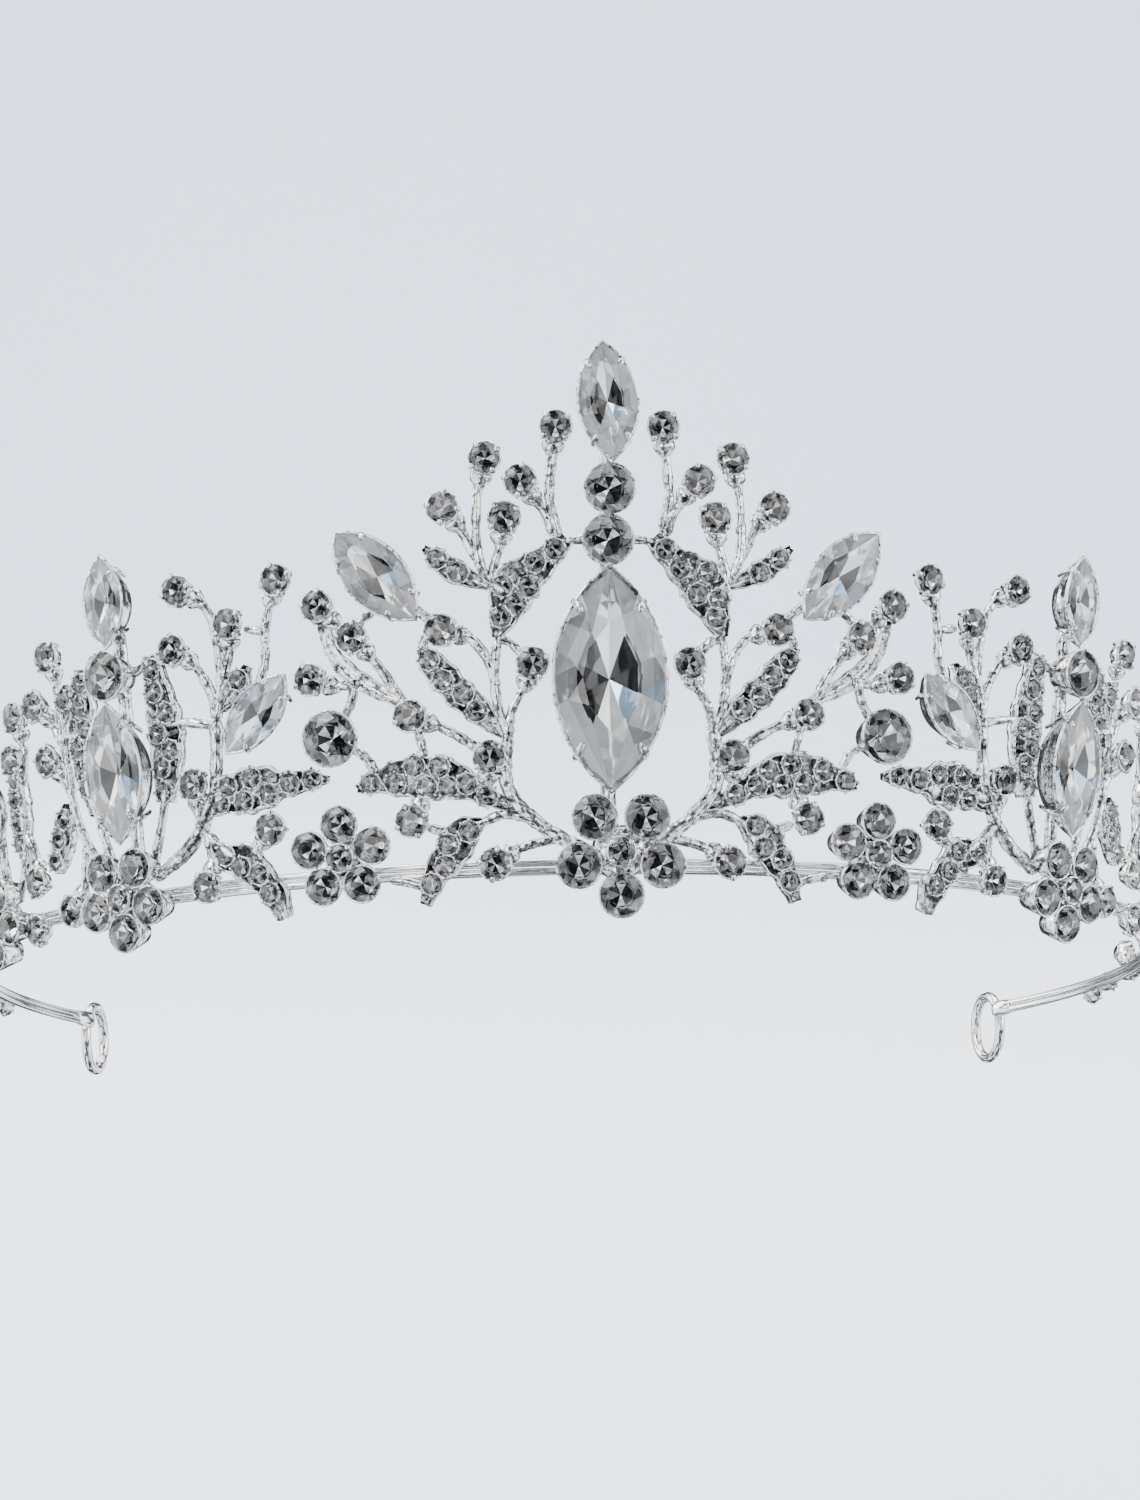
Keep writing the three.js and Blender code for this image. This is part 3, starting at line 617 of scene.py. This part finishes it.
END_SPRIG = {
    "stout": [
        [(78.0, -1.0), (82.0, 0.6), (87.0, 0.2), (92.0, -0.8), (97.0, -1.6)],
        [(75.4, -2), (75.2, 3), (75.2, 18)],
    ],
    "twigs": [
        [(73.0, -1.0), (70.6, 3.0), (69.9, 8.0), (69.6, 14.6)],
        [(70.0, 6.5), (68.8, 4.2), (68.0, 1.2)],
        [(69.7, 11.0), (68.3, 14.6), (68.2, 18.4)],
        [(73.0, -2.6), (70.8, -3.4), (69.2, -4.6)],
        [(78.0, 0.0), (80.4, 4.0), (81.0, 9.0), (81.0, 14.6)],
        [(80.9, 7.6), (82.8, 10.0), (84.6, 11.4)],
        [(84.2, 0.6), (86.2, 3.6), (88.0, 6.4)],
        [(89.4, -0.3), (91.8, 1.6), (94.0, 3.2)],
        [(97.0, -1.6), (99.4, -1.2)],
        [(83.0, 0.5), (84.0, -2.0), (84.8, -4.4)],
    ],
    "leaves": [
        [(78.6, 0.6, 0.6), (81.4, 1.4, 1.6), (84.0, 1.6, 2.0), (87.0, 0.8, 1.6), (89.6, 0.0, 0.6)],
        [(90.2, -0.4, 0.5), (92.6, -1.2, 1.3), (95.6, -1.7, 1.3), (98.0, -1.6, 0.6)],
        [(70.6, 3.6, 0.5), (70.4, 7.6, 1.4), (70.2, 11.0, 1.4), (69.8, 13.6, 0.5)],
        [(80.2, 4.0, 0.5), (80.5, 7.6, 1.4), (80.6, 11.0, 1.4), (80.9, 13.6, 0.5)],
    ],
    "plain_leaves": [],
    "heads": [
        (69.6, 14.6), (68.0, 0.4), (68.2, 19.2), (69.0, -4.8), (81.0, 15.4), (84.8, 11.6),
        (88.2, 6.8), (94.2, 3.4), (99.8, -1.2), (84.9, -4.6),
    ],
}
REAR_SPRIG = {
    "stout": [[(102.8, -2.4), (108.0, -1.6), (114.0, -2.0), (120.0, -2.4), (126.0, -2.8), (132.0, -3.2)]],
    "twigs": [
        [(104.4, -2.0), (104.6, 3.0), (105.6, 7.6)],
        [(109.6, -1.6), (110.6, 3.0), (112.4, 6.0)],
        [(115.6, -2.0), (117.0, 1.0), (118.8, 2.6)],
        [(121.6, -2.4), (123.0, -0.8), (124.4, 0.2)],
        [(106.4, -1.8), (107.0, -5.0)],
    ],
    "leaves": [
        [(104.8, -1.4, 0.6), (107.2, 0.8, 1.6), (109.8, 2.2, 1.6), (112.4, 2.6, 0.5)],
        [(113.6, -2.0, 0.6), (116.8, -2.3, 1.4), (120.0, -2.6, 1.4), (123.2, -2.8, 0.6)],
        [(125.0, -2.8, 0.5), (127.4, -3.0, 1.2), (129.8, -3.2, 0.6)],
    ],
    "plain_leaves": [],
    "heads": [(105.6, 8.2), (112.6, 6.6), (119.0, 3.0), (124.6, 0.6), (107.0, -5.4), (132.6, -3.2)],
}


def mirrored(points, side):
    return [(side * p[0], *p[1:]) for p in points]


def petal_centres(flower, side=1):
    """Petal centres in the order the frame numbers them."""
    u, v = side * flower["at"][0], flower["at"][1]
    for i in range(PETALS):
        a = math.radians(flower["top_angle"] + 360 / PETALS * i)
        yield u + flower["ring"] * math.cos(a), v + flower["ring"] * math.sin(a)


def petal_diameter(flower):
    return 2 * flower["petal"] - PETAL_GAP


# ---- materials ----

def new_material(name, **values):
    """A principled material with fixed values on the shader's own sockets."""
    made = bpy.data.materials.new(name)
    made.use_nodes = True
    shader = made.node_tree.nodes["Principled BSDF"]
    for socket, value in values.items():
        shader.inputs[socket.replace("_", " ")].default_value = value
    return made, made.node_tree.nodes, made.node_tree.links, shader


def noise_node(nodes, links, scale, detail=3.0):
    place = nodes.new("ShaderNodeTexCoord")
    made = nodes.new("ShaderNodeTexNoise")
    made.inputs["Scale"].default_value = scale
    made.inputs["Detail"].default_value = detail
    links.new(place.outputs["Object"], made.inputs["Vector"])
    return made


def ramp_node(nodes, links, source, stops):
    made = nodes.new("ShaderNodeValToRGB")
    links.new(source, made.inputs["Fac"])
    band = made.color_ramp
    while len(band.elements) < len(stops):
        band.elements.new(0.5)
    for element, (place, colour) in zip(band.elements, stops):
        element.position = place
        element.color = (*colour, 1)
    return made


def multiply_node(nodes, links, colour, factor):
    """Two colours, or a colour and a grey, multiplied. Inputs 6 and 7 and output 2 are its colours."""
    made = nodes.new("ShaderNodeMix")
    made.data_type = "RGBA"
    made.blend_type = "MULTIPLY"
    made.inputs["Factor"].default_value = 1.0
    links.new(colour, made.inputs[6])
    links.new(factor, made.inputs[7])
    return made


def silver(name, tones, roughness, grain_scale, depth):
    """Silver plating: a tone and roughness that wander a little, darkened by the painted shade each face
    carries, and the cast or drawn surface as bump.
    """
    made, nodes, links, shader = new_material(name, Metallic=1.0)
    patches = noise_node(nodes, links, 1700.0)
    tone = ramp_node(nodes, links, patches.outputs["Fac"], [(0.37, tones[0]), (0.49, tones[1])])
    # Painted shade: each face's painted tone, dark down in leaf beds and on twig streaks, multiplies the
    # colour.
    painted_shade = nodes.new("ShaderNodeAttribute")
    painted_shade.attribute_name = "painted_light_tone"
    shade = multiply_node(nodes, links, tone.outputs["Color"], painted_shade.outputs["Fac"])
    links.new(shade.outputs[2], shader.inputs["Base Color"])
    polish = [(0.35, (roughness[0],) * 3), (0.7, (roughness[1],) * 3)]
    gloss = ramp_node(nodes, links, patches.outputs["Fac"], polish)
    links.new(gloss.outputs["Color"], shader.inputs["Roughness"])
    pits = noise_node(nodes, links, grain_scale, 4.0)
    bump = nodes.new("ShaderNodeBump")
    bump.inputs["Strength"].default_value = 0.7
    bump.inputs["Distance"].default_value = depth * MM
    links.new(pits.outputs["Fac"], bump.inputs["Height"])
    links.new(bump.outputs["Normal"], shader.inputs["Normal"])
    return made


def crystal_glass():
    """Clear lead glass with the faintest cloud of tint."""
    made, nodes, links, shader = new_material(
        "crystal_glass", Roughness=0.0, IOR=1.56, Transmission_Weight=1.0)
    cloud = noise_node(nodes, links, 260.0)
    tint = ramp_node(nodes, links, cloud.outputs["Fac"], [(0.3, (0.96, 0.98, 1.0)), (0.7, (1.0, 1.0, 1.0))])
    links.new(tint.outputs["Color"], shader.inputs["Base Color"])
    return made


# Painted reflections on the foil, by facet tone: near black, grey, a painted blue flash, white.
FOIL_PAINTED_REFLECTION_HUES = [
    (0.0, (0.0, 0.0, 0.0)),
    (0.76, (0.76, 0.765, 0.77)),
    (0.80, (0.50, 0.70, 0.92)),
    (0.84, (0.84, 0.845, 0.85)),
    (1.0, (1.0, 1.0, 1.0)),
]


def foil_with_painted_reflections():
    """The silver foil fired on a stone's back, a little uneven, in the colours of each facet's painted
    reflection.
    """
    made, nodes, links, shader = new_material("stone_foil_painted_reflections", Metallic=0.65, Roughness=0.05)
    cloud = noise_node(nodes, links, 700.0)
    cloudy = [(0.3, (0.82, 0.83, 0.84)), (0.7, (0.98, 0.985, 0.99))]
    tint = ramp_node(nodes, links, cloud.outputs["Fac"], cloudy)
    # Painted reflections: the facet's painted tone picks its colour, from near black to white, with a painted
    # blue flash.
    facet = nodes.new("ShaderNodeAttribute")
    facet.attribute_name = "painted_light_tone"
    hues = ramp_node(nodes, links, facet.outputs["Fac"], FOIL_PAINTED_REFLECTION_HUES)
    shade = multiply_node(nodes, links, tint.outputs["Color"], hues.outputs["Color"])
    links.new(shade.outputs[2], shader.inputs["Base Color"])
    return made


CAST = silver("cast_silver_painted_shade", [(0.20, 0.21, 0.23), (0.97, 0.975, 0.98)], (0.07, 0.18), 1300.0, 0.14)
DRAWN = silver("drawn_silver", [(0.86, 0.87, 0.885), (0.95, 0.955, 0.96)], (0.10, 0.20), 1500.0, 0.02)
STONE = [crystal_glass(), foil_with_painted_reflections()]


# ---- pieces ----

def finish_piece(made, slot, *nodes):
    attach(made, "root")
    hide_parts(*nodes)


def add_seated(stones, place, diameter, girdle, start=0):
    """A small round stone whose girdle is at a height over the sheet. place has w = 0 on the sheet."""
    depth = ROUND_DEPTH * diameter
    stones.add_rigid(place, *round_stone(diameter, girdle - GIRDLE_LEVEL * depth, start))


def stem_direction(head, twigs):
    """The way a twig arrives at a head, from the nearest twig's end."""
    ends = [(math.dist(t[-1], head), t) for t in twigs]
    nearest = min(ends, key=lambda e: e[0])[1]
    run = np.array(nearest[-1], float) - np.array(nearest[-2], float)
    return run / np.linalg.norm(run)


def add_head(metal, stones, at, stem):
    """A claw-set stone with its bell cup, and the small bell on the stem below it."""
    girdle = CASTING_THICKNESS + HEAD_LIFT
    place = frame_at(at[0], at[1], 0)
    turn = math.atan2(stem[1], stem[0]) + math.pi / 4
    add_round_setting(metal, place, HEAD_STONE, CUP_FOOT, girdle, turn=turn)
    add_seated(stones, place, HEAD_STONE, girdle, start_at(at))
    side = np.array([-stem[1], stem[0]])
    rings = []
    for back, radius in ((3.1, 0.45), (2.8, 0.62), (2.4, 0.95), (1.9, 1.15), (1.5, 1.05)):
        middle = np.array(at) - back * stem
        uneven = 1 + 0.12 * grain((*middle, radius), 0.5)
        ring = []
        for a in round_angles(9):
            off = side * radius * uneven * math.cos(a)
            ring.append((*(middle + off), 0.85 + 0.8 * radius * math.sin(a)))
        rings.append(ring)
    metal.add_bent(*loft(rings))


def leaf_places(spine):
    """Where small stones sit in a leaf bed: one row where it is narrow, staggered pairs where it is wide."""
    path = smooth_path(spine, 16)
    sideways = across(path)
    run = distance_along(path)
    along = 0.7 * PAVE_STONE
    side = 1
    while along < run[-1] - 0.45 * PAVE_STONE:
        i = int(np.searchsorted(run, along))
        u, v, half = path[i]
        shift = min(max(0.0, half - 0.55 * PAVE_PITCH), 0.48 * PAVE_PITCH)
        if half > 0.42 * PAVE_STONE:
            yield u + sideways[i, 0] * side * shift, v + sideways[i, 1] * side * shift
            side = -side
            along += max(math.sqrt(PAVE_PITCH ** 2 - (2 * shift) ** 2), 0.5 * PAVE_PITCH)
        else:
            along += 0.1 * PAVE_STONE


def add_pave(metal, stones, places):
    """Small stones bedded in a leaf, with beads of metal over their edges wherever no neighbour is near."""
    girdle = CASTING_THICKNESS - PAVE_SINK
    reach = PAVE_PITCH / 2
    for at in places:
        place = frame_at(*at, 0)
        add_seated(stones, place, PAVE_STONE, girdle, start_at(at))
        add_round_setting(metal, place, PAVE_STONE, 0.3, girdle, claws=0, rim=PAVE_RIM)
        others = [other for other in places if other != at]
        for a in round_angles(8):
            spot = (reach * math.cos(a), reach * math.sin(a))
            if all(math.dist((at[0] + spot[0], at[1] + spot[1]), other) > reach - 0.02 for other in others):
                metal.add_rigid(place, *bead((*spot, girdle + 0.1), BEAD_RADII))


def add_sprig(metal, heads, pave, sprig, side):
    centres = mirrored(sprig["heads"], side)
    twigs = [mirrored(points, side) for points in sprig["twigs"] + sprig["stout"]]
    for i, points in enumerate(twigs):
        width = TWIG_WIDTH if i < len(sprig["twigs"]) else STOUT_TWIG_WIDTH
        metal.add_bent(*twig_form(points, width, centres))
    for spine in sprig["leaves"]:
        metal.add_bent(*leaf_form(mirrored(spine, side), BED_PAINTED_SHADE))
        add_pave(metal, pave, list(leaf_places(mirrored(spine, side))))
    for spine in sprig["plain_leaves"]:
        metal.add_bent(*leaf_form(mirrored(spine, side)))
    for head in centres:
        add_head(metal, heads, head, stem_direction(head, twigs))


def girdle_of(stone):
    """Height of a large stone's girdle over the sheet. The stone's culet is where its solid's is."""
    size = stone["size"]
    depth = NAVETTE_DEPTH * size[1] if isinstance(size, tuple) else ROUND_DEPTH * size
    return CASTING_THICKNESS + SEAT_GAP + GIRDLE_LEVEL * depth


def add_big_setting(metal, stone, side=1):
    at = (side * stone["at"][0], stone["at"][1])
    girdle = girdle_of(stone)
    if isinstance(stone["size"], tuple):
        place = frame_at(*at, 0, math.radians(side * stone["turn"]))
        add_navette_setting(metal, place, stone["size"], CUP_FOOT, girdle)
    else:
        add_round_setting(metal, frame_at(*at, 0), stone["size"], CUP_FOOT, girdle, claws=0)


def make_big_stone(name, stone, side=1):
    """One separate large stone, in the place of its node."""
    shape = Shape()
    at = (side * stone["at"][0], stone["at"][1])
    if isinstance(stone["size"], tuple):
        place = frame_at(*at, CASTING_THICKNESS + SEAT_GAP, math.radians(side * stone["turn"]))
        shape.add_rigid(place, *navette_stone(*stone["size"]))
    else:
        place = frame_at(*at, CASTING_THICKNESS + SEAT_GAP)
        shape.add_rigid(place, *round_stone(stone["size"]))
    finish_piece(shape.piece(f"{name}_cut", STONE, smooth=False), "crystal", name)


def add_flower_metal(metal, hearts, flower, side=1):
    """A flower's petal cups, its hub and the small stone at its heart."""
    diameter = petal_diameter(flower)
    girdle = CASTING_THICKNESS + SEAT_GAP + GIRDLE_LEVEL * ROUND_DEPTH * diameter
    for at in petal_centres(flower, side):
        add_round_setting(metal, frame_at(*at, 0), diameter, CUP_FOOT, girdle, claws=0)
    middle = frame_at(side * flower["at"][0], flower["at"][1], 0)
    hub = 0.55 * flower["ring"]
    hub_profile = [(hub, 0.15), (1.2 * hub, 0.6), (hub, girdle - 0.9), (0.5 * hub, girdle - 1.0)]
    metal.add_rigid(middle, *lathe(hub_profile, 14))
    heart_girdle = girdle + HEART_LIFT
    add_round_setting(metal, middle, HEART_STONE, heart_girdle - HEART_CUP_HEIGHT, heart_girdle)
    add_seated(hearts, middle, HEART_STONE, heart_girdle)


def add_petal(shape, flower, at):
    """One petal stone in its cup."""
    stone = round_stone(petal_diameter(flower), start=start_at(at))
    shape.add_rigid(frame_at(*at, CASTING_THICKNESS + SEAT_GAP), *stone)


def make_petals(name, flower, side=1):
    for i, at in enumerate(petal_centres(flower, side)):
        node = f"{name}_{i + 1}"
        shape = Shape()
        add_petal(shape, flower, at)
        finish_piece(shape.piece(f"{node}_cut", STONE, smooth=False), "crystal", node)


def finish_casting(node, metal, heads, pave):
    """The pieces that stand for one casting: its metal, and its claw-set and bedded stones if it has any."""
    finish_piece(metal.piece(f"{node}_metal", [CAST]), "casting", node)
    if heads.faces:
        finish_piece(heads.piece(f"{node}_stones", STONE, smooth=False), "crystal", node)
    if pave.faces:
        finish_piece(pave.piece(f"{node}_pave", STONE, smooth=False), "crystal", node)


def make_centre():
    metal, heads, pave = Shape(), Shape(), Shape()
    for points in CENTRE_TWIGS:
        metal.add_bent(*twig_form(points, STOUT_TWIG_WIDTH))
    metal.add_bent(*twig_form([(-4.4, 30.6), (-0.4, 30.9), (4.4, 30.6)], TWIG_WIDTH))
    for name, stone in CENTRE_COLUMN.items():
        add_big_setting(metal, stone)
        make_big_stone(name, stone)
    add_flower_metal(metal, heads, CENTRE_FLOWER)
    make_petals("centre_petal", CENTRE_FLOWER)
    for side, word in SIDES:
        add_sprig(metal, heads, pave, CENTRE_SPRIG, side)
        for name, stone in CENTRE_SIDE_STONES.items():
            add_big_setting(metal, stone, side)
            make_big_stone(f"{name}_{word}", stone, side)
    finish_casting("centre_casting", metal, heads, pave)


def make_small_flower(side, word):
    metal, hearts = Shape(), Shape()
    add_flower_metal(metal, hearts, SMALL_FLOWER, side)
    make_petals(f"small_petal_{word}", SMALL_FLOWER, side)
    finish_casting(f"flower_setting_{word}", metal, hearts, Shape())


def make_motif(node, word, side, sprig, big_stones, flower, petals=None):
    """A side, end or rear casting with its stones, and its flower's too unless petals names their nodes."""
    metal, heads, pave = Shape(), Shape(), Shape()
    add_sprig(metal, heads, pave, sprig, side)
    for name, stone in big_stones.items():
        add_big_setting(metal, stone, side)
        make_big_stone(f"{name}_{word}", stone, side)
    if flower:
        add_flower_metal(metal, heads, flower, side)
    if petals:
        make_petals(f"{petals}_{word}", flower, side)
    elif flower:
        for at in petal_centres(flower, side):
            add_petal(heads, flower, at)
    finish_casting(f"{node}_{word}", metal, heads, pave)


# ---- band ----

def make_band_wire(word, height):
    """A smooth drawn wire that keeps its height on the sheet from loop to loop."""
    half = BAND_HALF_LENGTH - 0.5 * LOOP_WIRE_RADIUS
    stations = np.linspace(-half, half, 161)
    rings = []
    for u in stations:
        rings.append([
            (u, height + WIRE_RADIUS * math.cos(a), WIRE_SETBACK + WIRE_RADIUS * math.sin(a))
            for a in round_angles(WIRE_SIDES)
        ])
    shape = Shape()
    shape.add_bent(*loft(rings))
    finish_piece(shape.piece(f"band_wire_{word}_drawn", [DRAWN]), "band_wire", f"band_wire_{word}")


def make_end_loop(side, word):
    """The round eye at the band's end, with the solder collar that joins it to the band."""
    low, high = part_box(f"end_loop_{word}")
    centre = (low + high) / 2
    along, up = Vector(loop_direction(side)), Vector((0, 0, 1))
    basis = Matrix((along, up, along.cross(up))).transposed().to_4x4()
    place = Matrix.Translation(centre) @ basis @ Matrix.Scale(MM, 4)
    shape = Shape()
    turns = 48
    points, faces = [], []
    for i in range(turns):
        a = 2 * math.pi * i / turns
        for b in round_angles(WIRE_SIDES):
            r = LOOP_RADIUS + LOOP_WIRE_RADIUS * math.cos(b)
            points.append((r * math.cos(a), r * math.sin(a), LOOP_WIRE_RADIUS * math.sin(b)))
        here, there = i * WIRE_SIDES, ((i + 1) % turns) * WIRE_SIDES
        for k in range(WIRE_SIDES):
            following = (k + 1) % WIRE_SIDES
            faces.append((here + k, there + k, there + following, here + following))
    shape.add_rigid(place, points, faces)
    shape.add_bent(*neck_form(side))
    finish_piece(shape.piece(f"end_loop_{word}_wire", [DRAWN]), "band_wire", f"end_loop_{word}")


def neck_form(side):
    """The solder collar that holds both band wires to the loop."""
    middle = sum(WIRE_HEIGHTS.values()) / 2
    rings = []
    for back, swell in ((3.4, 0.95), (3.0, 1.15), (1.6, 1.3), (0.2, 1.35), (-0.3, 1.1)):
        ring = []
        for a in round_angles(14):
            tall = (WIRE_RADIUS + 0.47) * swell * math.cos(a)
            ring.append((side * (BAND_HALF_LENGTH - back), middle + tall,
                         WIRE_SETBACK + WIRE_RADIUS * 1.25 * swell * math.sin(a)))
        rings.append(ring)
    return loft(rings)


# ---- camera, stage and light ----

EYE = (-25.96, -278.28, -61.71)  # from the sheet's zero, millimetres
YAW = math.radians(4.47)
PITCH = math.radians(14.20)
ROLL = math.radians(-1.36)
LENS = 65.57
FLOOR_LEVEL = -0.11  # metres: under the eye, which looks up at the tiara from below its foot
BACKDROP_AT = 0.80  # metres behind the tiara's middle, where the floor starts to curve up


def make_camera():
    camera = bpy.data.objects.new("camera", bpy.data.cameras.new("camera"))
    bpy.context.scene.collection.objects.link(camera)
    camera.data.lens = LENS
    camera.data.sensor_width = 36
    ahead = Vector((math.sin(YAW) * math.cos(PITCH), math.cos(YAW) * math.cos(PITCH), math.sin(PITCH)))
    right = Vector((math.cos(YAW), -math.sin(YAW), 0))
    up = right.cross(ahead)
    rolled_right = math.cos(ROLL) * right + math.sin(ROLL) * up
    rolled_up = -math.sin(ROLL) * right + math.cos(ROLL) * up
    turn = Matrix((rolled_right, rolled_up, -ahead)).transposed().to_4x4()
    camera.matrix_world = Matrix.Translation(Vector((np.array(EYE) + OFFSET) * MM)) @ turn
    camera.data.clip_start = 0.01
    bpy.context.scene.camera = camera


def make_backdrop():
    """One plain sheet: a flat floor that curves up far behind the tiara."""
    radius, top, half, front = 0.30, 1.6, 6.0, -8.0
    profile = [(front, 0.0)]
    profile += [(BACKDROP_AT + radius * math.sin(a), radius * (1 - math.cos(a)))
                for a in np.linspace(0, math.pi / 2, 24)]
    profile.append((BACKDROP_AT + radius, top))
    points = [(x, y, FLOOR_LEVEL + z) for y, z in profile for x in (-half, half)]
    faces = [(2 * i, 2 * i + 1, 2 * i + 3, 2 * i + 2) for i in range(len(profile) - 1)]
    mesh = bpy.data.meshes.new("backdrop")
    mesh.from_pydata(points, [], faces)
    mesh.polygons.foreach_set("use_smooth", [True] * len(faces))
    mesh.materials.append(backdrop_material())
    made = bpy.data.objects.new("backdrop", mesh)
    bpy.context.scene.collection.objects.link(made)
    made.visible_glossy = False
    made.visible_transmission = False


def backdrop_material():
    """Plain matt white below, turning to a pale blue-grey higher up."""
    made, nodes, links, shader = new_material("backdrop", Roughness=0.9, Specular_IOR_Level=0.1)
    place = nodes.new("ShaderNodeTexCoord")
    split = nodes.new("ShaderNodeSeparateXYZ")
    links.new(place.outputs["Object"], split.inputs[0])
    hues = [(0.12, (0.93, 0.94, 0.96)), (0.36, (0.60, 0.67, 0.75))]
    height = ramp_node(nodes, links, split.outputs["Z"], hues)
    links.new(height.outputs["Color"], shader.inputs["Base Color"])
    return made


def area_light(name, at, power, size, aim=(0, 0, 0.03)):
    light = bpy.data.lights.new(name, "AREA")
    light.energy = power
    light.shape = "RECTANGLE"
    light.size, light.size_y = size
    made = bpy.data.objects.new(name, light)
    bpy.context.scene.collection.objects.link(made)
    made.location = at
    made.rotation_euler = (Vector(aim) - Vector(at)).to_track_quat("-Z", "Y").to_euler()
    made.visible_camera = False


def make_lights():
    area_light("key_left", (-0.9, -0.7, 0.9), 12, (0.6, 0.9))
    area_light("fill_right", (1.0, -0.4, 0.5), 5, (0.5, 0.9))
    area_light("top", (0.0, 0.1, 1.2), 10, (1.2, 0.8))
    area_light("rear_left", (-0.7, 0.55, 0.6), 4, (0.4, 0.6))
    area_light("front_left", (-0.42, -0.9, 0.12), 2.5, (0.3, 0.7))
    area_light("front_right", (0.40, -0.9, 0.05), 1.5, (0.25, 0.7))


DARKER_TOWARDS = (0.0, -0.20, -0.14)  # how much the studio darkens to the front and back, above and below
METAL_STUDIO = [(0.40, (0.03, 0.033, 0.038)), (0.48, (1.0, 1.03, 1.07))]
STONE_STUDIO = [(0.36, (0.08, 0.083, 0.086)), (0.50, (0.75, 0.76, 0.78)), (0.59, (1.0, 1.01, 1.03))]
METAL_STUDIO_POWER = 2.8
STONE_STUDIO_POWER = 3.3
PLAIN_POWER = 2.9


def world_shader(nodes, links, source, stops, strength):
    """A background whose colour follows source."""
    tone = ramp_node(nodes, links, source, stops)
    made = nodes.new("ShaderNodeBackground")
    made.inputs["Strength"].default_value = strength
    links.new(tone.outputs["Color"], made.inputs["Color"])
    return made


def make_world():
    """A bright studio with a broken dark pattern, least at the sides, for the metal to reflect, and a softer
    one for rays that pass through the stones. Matt surfaces and the camera see plain pale light."""
    world = bpy.data.worlds.new("studio")
    bpy.context.scene.world = world
    world.use_nodes = True
    nodes, links = world.node_tree.nodes, world.node_tree.links
    plain = nodes["Background"]
    plain.inputs["Color"].default_value = (0.88, 0.93, 1.0, 1)
    plain.inputs["Strength"].default_value = PLAIN_POWER
    place = nodes.new("ShaderNodeTexCoord")
    patches = nodes.new("ShaderNodeTexNoise")
    patches.inputs["Scale"].default_value = 3.4
    patches.inputs["Detail"].default_value = 1.5
    links.new(place.outputs["Generated"], patches.inputs["Vector"])
    squared = nodes.new("ShaderNodeVectorMath")
    squared.operation = "MULTIPLY"
    links.new(place.outputs["Generated"], squared.inputs[0])
    links.new(place.outputs["Generated"], squared.inputs[1])
    ends = nodes.new("ShaderNodeVectorMath")
    ends.operation = "DOT_PRODUCT"
    links.new(squared.outputs["Vector"], ends.inputs[0])
    ends.inputs[1].default_value = DARKER_TOWARDS
    level = nodes.new("ShaderNodeMath")
    level.operation = "ADD"
    links.new(ends.outputs["Value"], level.inputs[0])
    links.new(patches.outputs["Fac"], level.inputs[1])
    studio = world_shader(nodes, links, level.outputs["Value"], METAL_STUDIO, METAL_STUDIO_POWER)
    soft = world_shader(nodes, links, patches.outputs["Fac"], STONE_STUDIO, STONE_STUDIO_POWER)
    rays = nodes.new("ShaderNodeLightPath")
    seen = plain.outputs["Background"]
    for kind, pattern in (("Is Glossy Ray", studio), ("Is Transmission Ray", soft)):
        mix = nodes.new("ShaderNodeMixShader")
        links.new(rays.outputs[kind], mix.inputs["Fac"])
        links.new(seen, mix.inputs[1])
        links.new(pattern.outputs["Background"], mix.inputs[2])
        seen = mix.outputs["Shader"]
    links.new(seen, nodes["World Output"].inputs["Surface"])


make_centre()
for one_side, one_word in SIDES:
    make_small_flower(one_side, one_word)
    make_motif("side_casting", one_word, one_side, SIDE_SPRIG, SIDE_STONES, SIDE_FLOWER, "side_petal")
    make_motif("end_casting", one_word, one_side, END_SPRIG, END_STONES, END_FLOWER)
    make_motif("rear_casting", one_word, one_side, REAR_SPRIG, {}, None)
    make_end_loop(one_side, one_word)
for wire, level_on_sheet in WIRE_HEIGHTS.items():
    make_band_wire(wire, level_on_sheet)
make_camera()
make_backdrop()
make_lights()
make_world()
